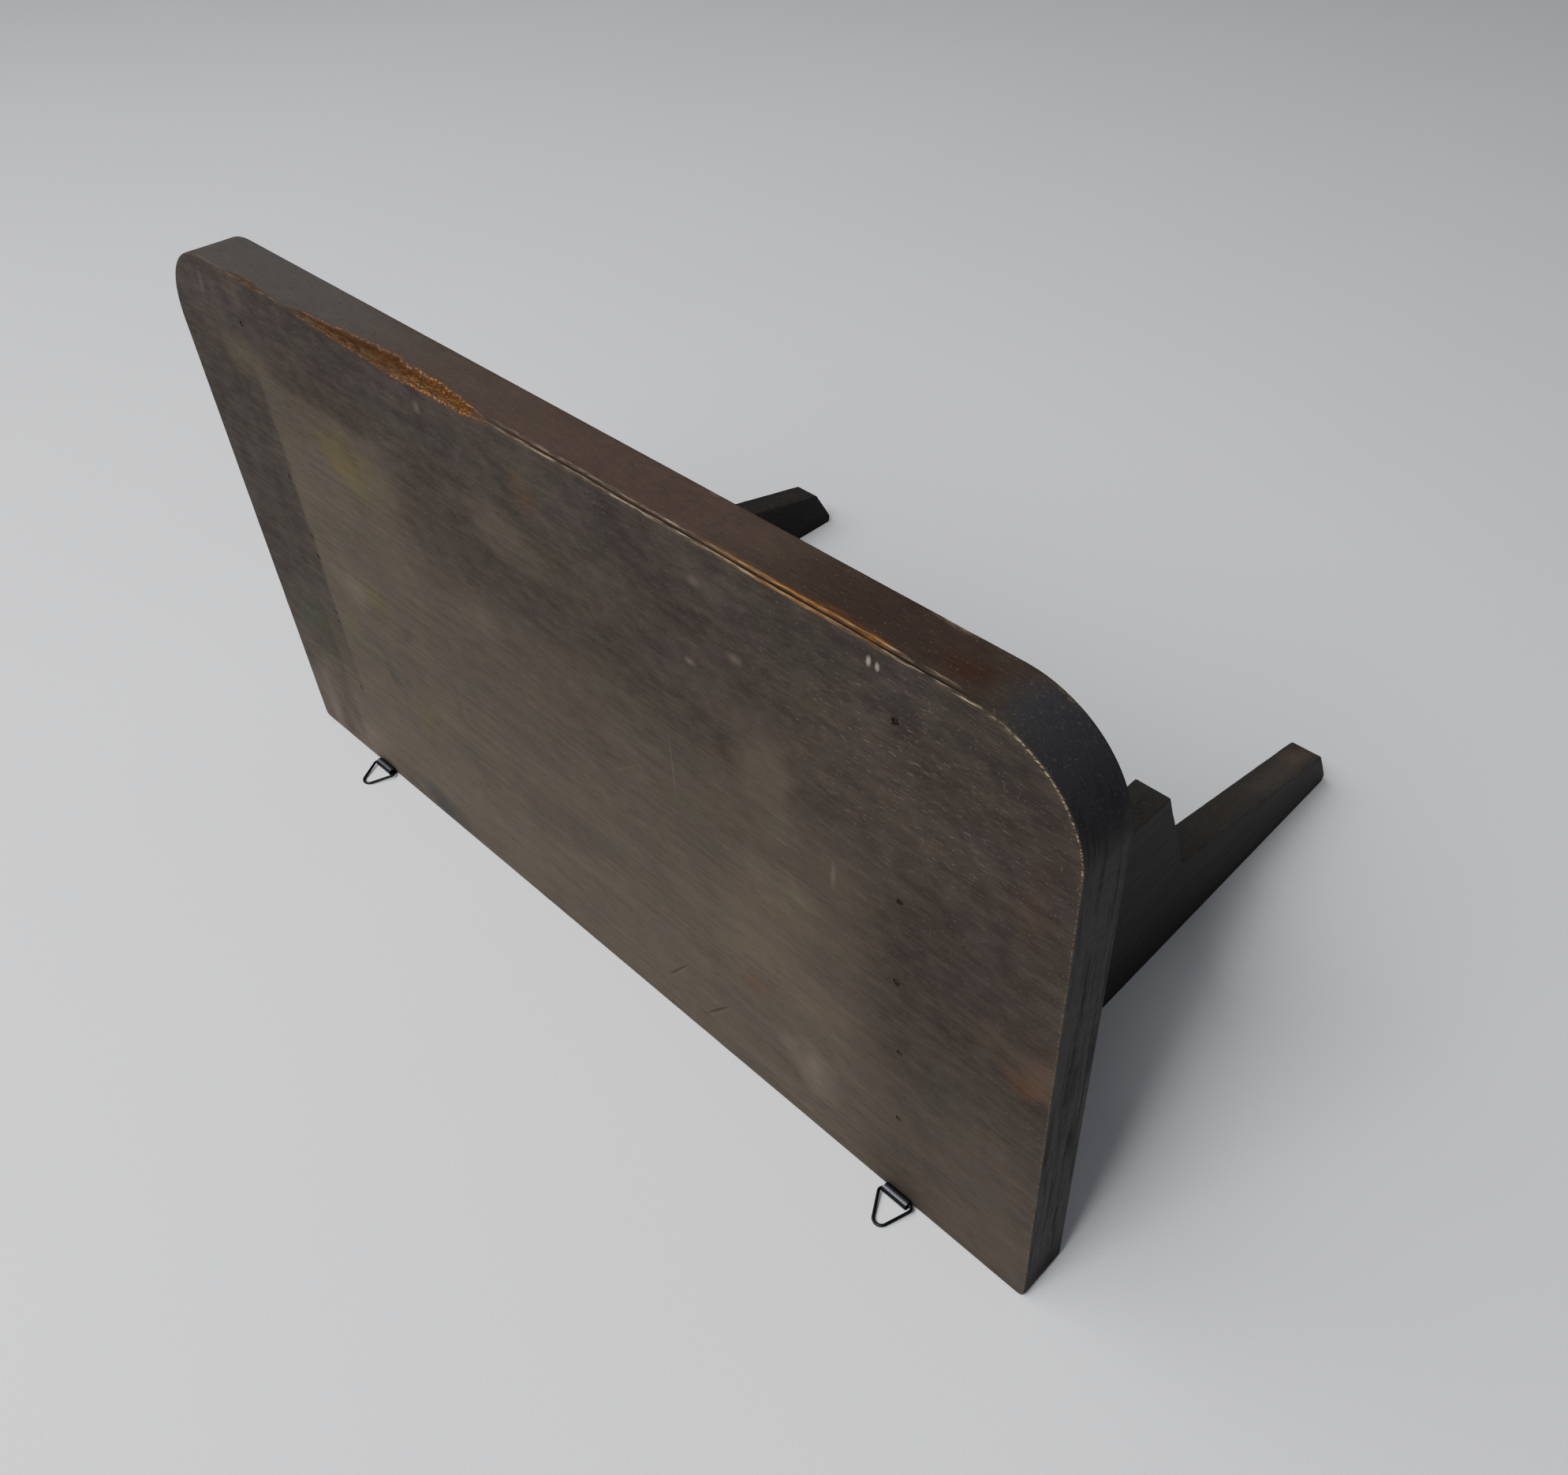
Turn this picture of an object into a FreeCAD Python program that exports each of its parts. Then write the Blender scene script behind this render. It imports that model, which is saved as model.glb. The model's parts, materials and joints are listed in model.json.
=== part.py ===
import FreeCAD, Part
import math
import os

# A small wooden wall shelf stood on its wall side: one board with two rounded corners, two notched
# brackets nailed behind it, and two strap hangers with triangular wire rings on the wall side.
# Units are millimetres. While modelling, x runs along the board from its left end, y runs from the
# board's top face (y = 0) towards the brackets, and z runs up from the wall side (z = 0).
# Before export everything is moved so that the origin is the bottom centre of the whole object's box.

# Board
BOARD_LENGTH = 450.0
BOARD_DEPTH = 252.0
BOARD_THICK = 21.0
FREE_CORNER_R = 37.0
WALL_CORNER_R = 3.0
BOARD_ARRIS_R = 1.0

# Bracket profile: "out" is measured from the board's back face, "up" from the wall side
BRACKET_THICK = 16.0
BRACKET_INSET = 51.0
LEG_REACH = 281.0
LEG_TIP_SLANT = 12.6
LEG_TIP_UP = 22.5
LEG_TIP_R = 3.0
NOTCH_OUT = 142.6
NOTCH_UP = 51.7
BLOCK_OUT = 121.7
BLOCK_UP = 104.2
ARM_ROOT_OUT = 47.0
ARM_ROOT_R = 9.0
ARM_TIP_OUT = 16.0
ARM_TIP_UP = 231.0
ARM_REACH = 243.0

# Nails driven through the board into the brackets, at slightly uneven places
NAIL_LENGTH = 32.0
NAIL_R = 0.8
NAIL_HEAD_R = 1.2
NAIL_HEAD_THICK = 0.8
NAIL_POINT = 2.5
NAIL_SET = 0.2
NAIL_HEIGHTS = (49.5, 88.0, 124.0, 162.5, 231.0)
NAIL_DRIFTS = {
    "left": (-4.0, -4.5, -3.2, -5.8, -3.0),
    "right": (0.6, 0.6, -1.0, 0.2, -2.2),
}

# Hanger strap: one sheet folded back on itself round the ring's wire, its tail let in flush
STRAP_WIDTH = 11.5
SHEET_THICK = 0.45
LOOP_BORE_R = 1.45
LOOP_GAP = 0.1
STRAP_END = 36.0
STRAP_END_R = 5.0
HANGER_X = {"left": 58.2, "right": 392.8}

# Countersunk screws of the straps: one goes into the board, one into the bracket
SCREW_Y = (10.5, 28.5)
SCREW_LENGTH = 12.0
SCREW_R = 1.2
SCREW_HEAD_R = 2.3
SCREW_HEAD_DEPTH = 1.3
SCREW_POINT = 3.0
SLOT_WIDTH = 0.6
SLOT_DEPTH = 0.5

# Triangular wire ring, lying a little slid and turned in its loop
WIRE_R = 0.65
RING_BASE = 16.0
RING_HALF_APEX_DEG = 26.0
RING_BASE_CORNER_R = 1.4
RING_TIP_R = 3.1
RING_SLIDE = 0.4
RING_TURN_DEG = {"left": 1.5, "right": 5.0}
GROUND_CLEAR = 0.02

# Worked out from the values above
LOOP_R = LOOP_BORE_R + SHEET_THICK
STRAP_THICK = 2 * SHEET_THICK
HINGE_Y = -(LOOP_R + LOOP_GAP)
HINGE_Z = LOOP_R
BRACKET_X = {"left": BRACKET_INSET, "right": BOARD_LENGTH - BRACKET_INSET - BRACKET_THICK}
POINT_TAPER = 8
PAST = 1.0

X_AXIS = FreeCAD.Vector(1, 0, 0)
Y_AXIS = FreeCAD.Vector(0, 1, 0)
Z_AXIS = FreeCAD.Vector(0, 0, 1)


def rounded_loop(corners):
    """Closed wire through (point, radius) corners, each rounded by its own radius."""
    edges = []
    starts = []
    ends = []
    count = len(corners)
    for index, (point, radius) in enumerate(corners):
        before = corners[index - 1][0] - point
        after = corners[(index + 1) % count][0] - point
        before.normalize()
        after.normalize()
        half = before.getAngle(after) / 2
        reach = radius / math.tan(half)
        start = point + before * reach
        end = point + after * reach
        starts.append(start)
        ends.append(end)
        if radius > 0:
            inwards = before + after
            inwards.normalize()
            centre = point + inwards * (radius / math.sin(half))
            edges.append(Part.Arc(start, centre - inwards * radius, end).toShape())
    for index in range(count):
        here = ends[index]
        there = starts[(index + 1) % count]
        edges.append(Part.LineSegment(here, there).toShape())
    return Part.Wire(Part.__sortEdges__(edges))


def slab(corners, way):
    """Solid made by pushing a rounded outline along a vector."""
    return Part.Face(rounded_loop(corners)).extrude(way)


def face_edges(solid, levels):
    """Edges of a slab that lie flat at one of the given y levels."""
    chosen = []
    for edge in solid.Edges:
        box = edge.BoundBox
        for level in levels:
            if abs(box.YMin - level) < 1e-6 and abs(box.YMax - level) < 1e-6:
                chosen.append(edge)
    return chosen


def board_blank():
    """Board with two round free corners and softened arrises."""
    corners = [
        (FreeCAD.Vector(0, 0, 0), WALL_CORNER_R),
        (FreeCAD.Vector(BOARD_LENGTH, 0, 0), WALL_CORNER_R),
        (FreeCAD.Vector(BOARD_LENGTH, 0, BOARD_DEPTH), FREE_CORNER_R),
        (FreeCAD.Vector(0, 0, BOARD_DEPTH), FREE_CORNER_R),
    ]
    blank = slab(corners, Y_AXIS * BOARD_THICK)
    return blank.makeFillet(BOARD_ARRIS_R, face_edges(blank, (0, BOARD_THICK)))


def bracket_blank(left_x):
    """Bracket: a leg along the wall, a stepped block at the root and an arm along the board."""
    profile = [
        (0, 0, 0),
        (LEG_REACH, 0, LEG_TIP_R),
        (LEG_REACH - LEG_TIP_SLANT, LEG_TIP_UP, LEG_TIP_R / 2),
        (NOTCH_OUT, NOTCH_UP, 0),
        (BLOCK_OUT, BLOCK_UP, 0),
        (ARM_ROOT_OUT, BLOCK_UP, ARM_ROOT_R),
        (ARM_TIP_OUT, ARM_TIP_UP, 0),
        (0, ARM_REACH, 0),
    ]
    corners = [
        (FreeCAD.Vector(left_x, BOARD_THICK + out, up), radius) for out, up, radius in profile
    ]
    return slab(corners, X_AXIS * BRACKET_THICK)


def pin(base, axis, head, radius, length, point_length):
    """A head fused to a round shank that ends in a point."""
    shank = Part.makeCylinder(radius, length - point_length, base, axis)
    point_base = base + axis * (length - point_length)
    point = Part.makeCone(radius, radius / POINT_TAPER, point_length, point_base, axis)
    return head.fuse([shank, point]).removeSplitter()


def nail(x, z):
    """One nail with a small flat head, set a little below the board's face."""
    base = FreeCAD.Vector(x, NAIL_SET, z)
    head = Part.makeCylinder(NAIL_HEAD_R, NAIL_HEAD_THICK, base, Y_AXIS)
    return pin(base, Y_AXIS, head, NAIL_R, NAIL_LENGTH, NAIL_POINT)


def nail_well(x, z):
    """The short well above a nail's head."""
    base = FreeCAD.Vector(x, -PAST, z)
    return Part.makeCylinder(NAIL_HEAD_R, NAIL_SET + PAST, base, Y_AXIS)


def nail_places(side):
    """Where the nails of one bracket stand on the board's face, as (x, z)."""
    middle = BRACKET_X[side] + BRACKET_THICK / 2
    return [(middle + drift, z) for drift, z in zip(NAIL_DRIFTS[side], NAIL_HEIGHTS)]


def screw_blank(x, y):
    """One countersunk screw with no slot, its head flush with the wall side."""
    base = FreeCAD.Vector(x, y, 0)
    head = Part.makeCone(SCREW_HEAD_R, SCREW_R, SCREW_HEAD_DEPTH, base, Z_AXIS)
    return pin(base, Z_AXIS, head, SCREW_R, SCREW_LENGTH, SCREW_POINT)


def screw_slot(x, y):
    """The slot across a screw's head."""
    corner = FreeCAD.Vector(x - SLOT_WIDTH / 2, y - SCREW_HEAD_R - PAST, -PAST)
    return Part.makeBox(SLOT_WIDTH, 2 * (SCREW_HEAD_R + PAST), SLOT_DEPTH + PAST, corner)


def strap_tail(x, front_y, low_z):
    """The strap's flat tail, or the bed that is cut for it, with a rounded far end."""
    half = STRAP_WIDTH / 2
    corners = [
        (FreeCAD.Vector(x - half, front_y, low_z), 0),
        (FreeCAD.Vector(x + half, front_y, low_z), 0),
        (FreeCAD.Vector(x + half, STRAP_END, low_z), STRAP_END_R),
        (FreeCAD.Vector(x - half, STRAP_END, low_z), STRAP_END_R),
    ]
    return slab(corners, Z_AXIS * (STRAP_THICK - low_z))


def strap_blank(x):
    """Folded strap: a rolled loop in front of the board and two layers behind it."""
    start = FreeCAD.Vector(x - STRAP_WIDTH / 2, HINGE_Y, HINGE_Z)
    roll = Part.makeCylinder(LOOP_R, STRAP_WIDTH, start, X_AXIS)
    bore = Part.makeCylinder(LOOP_BORE_R, STRAP_WIDTH, start, X_AXIS)
    return roll.fuse(strap_tail(x, HINGE_Y, 0)).cut(bore).removeSplitter()


def ring(x, turn_deg):
    """Triangular ring of round wire: its base lies in the loop, its tip on the ground."""
    half_apex = math.radians(RING_HALF_APEX_DEG)
    half_base = RING_BASE / 2
    apex = half_base / math.tan(half_apex)
    tip_reach = apex - RING_TIP_R * (1 / math.sin(half_apex) - 1)
    corners = [
        (FreeCAD.Vector(-half_base, 0, 0), RING_BASE_CORNER_R),
        (FreeCAD.Vector(half_base, 0, 0), RING_BASE_CORNER_R),
        (FreeCAD.Vector(0, -apex, 0), RING_TIP_R),
    ]
    path = rounded_loop(corners)
    first = path.Edges[0]
    start = first.valueAt(first.FirstParameter)
    section = Part.Wire(Part.makeCircle(WIRE_R, start, first.tangentAt(first.FirstParameter)))
    wire = path.makePipeShell([section], True, True)
    middle = FreeCAD.Vector(0, 0, 0)
    wire.rotate(middle, Z_AXIS, turn_deg)
    droop_deg = math.degrees(math.asin((HINGE_Z - WIRE_R - GROUND_CLEAR) / tip_reach))
    wire.rotate(middle, X_AXIS, droop_deg)
    wire.translate(FreeCAD.Vector(x, HINGE_Y, HINGE_Z))
    return wire


def build():
    """All nodes, still in modelling coordinates."""
    nodes = {"shelf_board": board_blank()}
    for side in ("left", "right"):
        hanger_x = HANGER_X[side]
        nails = [nail(x, z) for x, z in nail_places(side)]
        wells = [nail_well(x, z) for x, z in nail_places(side)]
        blanks = [screw_blank(hanger_x, y) for y in SCREW_Y]
        screws = [blank.cut(screw_slot(hanger_x, y)) for blank, y in zip(blanks, SCREW_Y)]
        bed = strap_tail(hanger_x, -PAST, -PAST)
        hollows = nails + wells + blanks + [bed]
        nodes["shelf_board"] = nodes["shelf_board"].cut(hollows)
        nodes["bracket_" + side] = bracket_blank(BRACKET_X[side]).cut(hollows)
        nodes["bracket_nails_" + side] = Part.makeCompound(nails)
        nodes["hanger_strap_" + side] = strap_blank(hanger_x).cut(blanks)
        nodes["hanger_screws_" + side] = Part.makeCompound(screws)
        nodes["hanger_ring_" + side] = ring(hanger_x + RING_SLIDE, RING_TURN_DEG[side])
    return nodes


def main():
    """Builds the nodes, centres them on the whole box and writes one STEP file each."""
    os.makedirs("parts", exist_ok=True)
    nodes = build()
    whole = FreeCAD.BoundBox()
    for shape in nodes.values():
        whole.add(shape.optimalBoundingBox())
    shift = FreeCAD.Vector(-whole.Center.x, -whole.Center.y, 0)
    for name, shape in sorted(nodes.items()):
        shape.translate(shift)
        shape.exportStep("parts/" + name + ".step")
        print(name, len(shape.Solids), shape.isValid(), round(shape.Volume, 1))
    print("shift", shift)
    for side, x in HANGER_X.items():
        print("hinge", side, FreeCAD.Vector(x, HINGE_Y, HINGE_Z) + shift)


main()
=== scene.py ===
"""Looks of a small old wall shelf that stands on its wall side.

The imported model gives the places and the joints. This script puts a finished piece over each of its
nodes: a worn, dark stained board, two sawn brackets, blackened strap hangers with their wire rings,
and dull nails and screws. Shapes are worked out in millimetres and stored in metres.
"""

import json
import logging
import math
from collections.abc import Sequence
from dataclasses import dataclass, field
from enum import Enum

import bmesh
import bpy
import numpy as np
from mathutils import Matrix, Vector, geometry, kdtree, noise


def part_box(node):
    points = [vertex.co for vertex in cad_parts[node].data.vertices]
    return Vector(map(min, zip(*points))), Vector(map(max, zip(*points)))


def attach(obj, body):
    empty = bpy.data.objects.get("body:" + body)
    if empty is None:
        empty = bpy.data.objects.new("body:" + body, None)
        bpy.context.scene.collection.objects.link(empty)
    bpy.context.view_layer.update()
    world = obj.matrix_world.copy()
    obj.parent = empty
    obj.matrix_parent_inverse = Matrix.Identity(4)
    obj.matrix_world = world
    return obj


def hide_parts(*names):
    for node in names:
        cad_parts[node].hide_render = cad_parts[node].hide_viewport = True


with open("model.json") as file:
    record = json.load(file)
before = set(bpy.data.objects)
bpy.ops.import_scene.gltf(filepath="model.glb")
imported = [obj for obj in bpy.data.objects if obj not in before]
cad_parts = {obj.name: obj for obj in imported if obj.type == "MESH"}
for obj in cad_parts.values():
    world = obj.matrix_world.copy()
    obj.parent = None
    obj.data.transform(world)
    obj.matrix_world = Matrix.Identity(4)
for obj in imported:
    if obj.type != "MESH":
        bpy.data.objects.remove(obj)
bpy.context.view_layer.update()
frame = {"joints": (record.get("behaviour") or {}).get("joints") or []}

MM = 0.001
SHARP_EDGE_DEG = 38.0
LOG = logging.getLogger("wall_shelf")

Socket = bpy.types.NodeSocket
Tree = bpy.types.NodeTree


class Side(Enum):
    """End of the board that a bracket or a hanger belongs to."""

    LEFT = "left"
    RIGHT = "right"


class Body(Enum):
    """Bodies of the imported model."""

    SHELF = "shelf"
    RING_LEFT = "ring_left"
    RING_RIGHT = "ring_right"


class Slot(Enum):
    """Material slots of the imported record."""

    BOARD = "board_wood"
    BRACKET = "bracket_wood"
    STRAP = "strap_steel"
    WIRE = "ring_wire"
    FASTENER = "fastener_steel"


# --------------------------------------------------------------------------------------------------
# Colours, nodes and patterns
# --------------------------------------------------------------------------------------------------


def linear(hex_colour: str) -> tuple[float, float, float, float]:
    """Turns an sRGB hex colour into linear light.

    Args:
        hex_colour: six hex digits, such as "3a332e".

    Returns:
        Red, green, blue and alpha for a colour socket.
    """
    levels = [int(hex_colour[start : start + 2], 16) / 255 for start in (0, 2, 4)]
    light = [x / 12.92 if x <= 0.04045 else ((x + 0.055) / 1.055) ** 2.4 for x in levels]
    return (*light, 1.0)


def add_node(
    tree: Tree, kind: str, inputs: dict[int | str, object] | None = None, **settings: object
) -> bpy.types.Node:
    """Adds one node with its settings, its input values and its links.

    Args:
        tree: the tree that gets the node.
        kind: the node's type name.
        inputs: what each input gets, by index or name: a socket to link from, or a plain value.
        settings: properties of the node itself.

    Returns:
        The new node.
    """
    node = tree.nodes.new(kind)
    for name, value in settings.items():
        setattr(node, name, value)
    for key, value in (inputs or {}).items():
        if isinstance(value, Socket):
            tree.links.new(value, node.inputs[key])
        else:
            node.inputs[key].default_value = value
    return node


@dataclass(frozen=True)
class Pattern:
    """Random pattern whose size is a real size.

    Attributes:
        period: millimetres from one light place to the next, along x, y and z.
        low: noise level where the pattern starts to show.
        high: noise level where it shows in full.
        top: how much of it shows in full.
        detail: octaves of finer noise.
        seed: fixed shift, so that two patterns of one size differ.
    """

    period: tuple[float, float, float]
    low: float = 0.4
    high: float = 0.6
    top: float = 1.0
    detail: float = 2.0
    seed: float = 0.0

    def mask(self, tree: Tree, place: Socket) -> Socket:
        """Adds the pattern's nodes.

        Args:
            tree: the material's tree.
            place: position in millimetres.

        Returns:
            A grey socket from 0 to top.
        """
        turns = [1 / length for length in self.period]
        shift = (self.seed, self.seed * 0.7, -self.seed)
        scaled = add_node(
            tree, "ShaderNodeVectorMath", {0: place, 1: turns, 2: shift}, operation="MULTIPLY_ADD"
        )
        grey = add_node(
            tree,
            "ShaderNodeTexNoise",
            {"Vector": scaled.outputs[0], "Scale": 1.0, "Detail": self.detail, "Roughness": 0.6},
        )
        limits = {0: grey.outputs[0], 1: self.low, 2: self.high, 4: self.top}
        return add_node(tree, "ShaderNodeMapRange", limits).outputs[0]


@dataclass(frozen=True)
class Patch:
    """Stain, scuff or fleck with a soft border.

    Attributes:
        centre: its middle in millimetres from the piece's low corner.
        reach: half its length along x, y and z.
        tone: the colour that it turns the wood to, empty where it only limits another pattern.
        strength: how much of that colour it reaches in its middle.
        soft: share of its reach over which it fades out.
        turn: lean of its top to the right, in degrees.
        wander: whether its border follows the slow random waves of the surface.
    """

    centre: tuple[float, float, float]
    reach: tuple[float, float, float]
    tone: str
    strength: float
    soft: float
    turn: float = 0.0
    wander: bool = True

    def mask(self, tree: Tree, place: Socket) -> Socket:
        """Adds the patch's nodes.

        Args:
            tree: the material's tree.
            place: position in millimetres.

        Returns:
            A grey socket from 0 to strength.
        """
        away = add_node(
            tree, "ShaderNodeVectorMath", {0: place, 1: self.centre}, operation="SUBTRACT"
        ).outputs[0]
        if self.turn:
            turned = {"Vector": away, "Angle": -math.radians(self.turn)}
            away = add_node(tree, "ShaderNodeVectorRotate", turned, rotation_type="Y_AXIS").outputs[0]
        shares = {0: away, 1: self.reach}
        scaled = add_node(tree, "ShaderNodeVectorMath", shares, operation="DIVIDE")
        far = add_node(
            tree, "ShaderNodeVectorMath", {0: scaled.outputs[0]}, operation="LENGTH"
        ).outputs[1]
        limits = {0: far, 1: 1.0, 2: 1.0 - self.soft, 4: self.strength}
        smooth = "SMOOTHSTEP"
        return add_node(tree, "ShaderNodeMapRange", limits, interpolation_type=smooth).outputs[0]


@dataclass(frozen=True)
class Field:
    """Upright rectangle on the board's face, each border with a fade of its own.

    Attributes:
        borders: left, right, lower and upper border in millimetres.
        fades: millimetres over which each border fades out, in the same order.
        tone: the colour that it turns the wood to.
        strength: how much of that colour it reaches.
        skin: how deep behind the face it reaches, so that the edge and the back stay clear.
        wander: whether its borders follow the slow random waves of the surface.
    """

    borders: tuple[float, float, float, float]
    fades: tuple[float, float, float, float]
    tone: str
    strength: float
    skin: float = 2.0
    wander: bool = False

    def mask(self, tree: Tree, place: Socket) -> Socket:
        """Adds the field's nodes.

        Args:
            tree: the material's tree.
            place: position in millimetres.

        Returns:
            A grey socket from 0 to strength.
        """
        axes = add_node(tree, "ShaderNodeSeparateXYZ", {0: place}).outputs
        left, right, low, high = self.borders
        left_fade, right_fade, low_fade, high_fade = self.fades
        sides = (
            (axes[0], left, left_fade),
            (axes[0], right, -right_fade),
            (axes[2], low, low_fade),
            (axes[2], high, -high_fade),
            (axes[1], self.skin, -self.skin / 2),
        )
        level: object = self.strength
        for axis, border, inwards in sides:
            limits = {0: axis, 1: border, 2: border + inwards, 4: 1.0}
            side = add_node(tree, "ShaderNodeMapRange", limits, interpolation_type="SMOOTHSTEP")
            parts = {0: level, 1: side.outputs[0]}
            level = add_node(tree, "ShaderNodeMath", parts, operation="MULTIPLY").outputs[0]
        return level


@dataclass(frozen=True)
class Layer:
    """One coat over the colour so far.

    Attributes:
        mask: where it shows.
        tone: its hex colour.
        amount: how much of it shows there, as a number or a second mask.
        blend: how it is mixed in.
    """

    mask: Socket
    tone: str
    amount: float | Socket = 1.0
    blend: str = "MIX"


class Coat:
    """A material under construction: its tree, its shader and the place in millimetres on the piece."""

    def __init__(self, name: str, corner: Vector) -> None:
        """Starts a material.

        Args:
            name: the material's name.
            corner: the piece's low corner in metres, from which the place is measured.
        """
        self.material = bpy.data.materials.new(name)
        self.material.use_nodes = True
        self.tree = self.material.node_tree
        self.shader = self.tree.nodes["Principled BSDF"]
        coordinates = add_node(self.tree, "ShaderNodeTexCoord")
        shift = [-value / MM for value in corner]
        self.place = add_node(
            self.tree,
            "ShaderNodeVectorMath",
            {0: coordinates.outputs["Object"], 1: (1 / MM,) * 3, 2: shift},
            operation="MULTIPLY_ADD",
        ).outputs[0]

    def waver(self, period: float, far: float) -> Socket:
        """Place shifted by slow random waves, for natural borders.

        Args:
            period: length of the waves in millimetres.
            far: how far the place is shifted, in millimetres.

        Returns:
            A vector socket in millimetres.
        """
        waves = add_node(
            self.tree, "ShaderNodeTexNoise", {"Vector": self.place, "Scale": 1 / period, "Detail": 3.0}
        )
        centred = add_node(
            self.tree,
            "ShaderNodeVectorMath",
            {0: waves.outputs[1], 1: (0.5, 0.5, 0.5)},
            operation="SUBTRACT",
        )
        moved = {0: centred.outputs[0], 1: (2 * far,) * 3, 2: self.place}
        return add_node(
            self.tree, "ShaderNodeVectorMath", moved, operation="MULTIPLY_ADD"
        ).outputs[0]

    def mark(self, name: str) -> Socket:
        """Returns the grey level of a mesh attribute."""
        return add_node(self.tree, "ShaderNodeAttribute", attribute_name=name).outputs[2]

    def paint(self, base: str, layers: Sequence[Layer]) -> None:
        """Mixes coats of colour over a base colour, in order.

        Args:
            base: hex colour under all the coats.
            layers: the coats, lowest first.
        """
        colour: object = linear(base)
        for layer in layers:
            both = {0: layer.mask, 1: layer.amount}
            share = add_node(self.tree, "ShaderNodeMath", both, operation="MULTIPLY").outputs[0]
            inputs = {0: share, 6: colour, 7: linear(layer.tone)}
            mixer = add_node(
                self.tree, "ShaderNodeMix", inputs,
                data_type="RGBA", blend_type=layer.blend, clamp_factor=True,
            )
            colour = mixer.outputs[2]
        self.tree.links.new(colour, self.shader.inputs["Base Color"])

    def bump(self, heights: Sequence[tuple[Socket, float]]) -> None:
        """Raises the surface by several patterns.

        Args:
            heights: each pattern with its full height in millimetres.
        """
        normal = None
        for level, height in heights:
            inputs = {"Height": level, "Distance": height * MM, "Strength": 1.0}
            if normal is not None:
                inputs["Normal"] = normal
            normal = add_node(self.tree, "ShaderNodeBump", inputs).outputs[0]
        self.tree.links.new(normal, self.shader.inputs["Normal"])

    def roughen(self, level: Socket, smooth: float, rough: float) -> None:
        """Sets the roughness between two values by a grey level.

        Args:
            level: the grey level.
            smooth: roughness where it is 0.
            rough: roughness where it is 1.
        """
        limits = {0: level, 3: smooth, 4: rough}
        spread = add_node(self.tree, "ShaderNodeMapRange", limits).outputs[0]
        self.tree.links.new(spread, self.shader.inputs["Roughness"])


# --------------------------------------------------------------------------------------------------
# Finishes
# --------------------------------------------------------------------------------------------------


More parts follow.
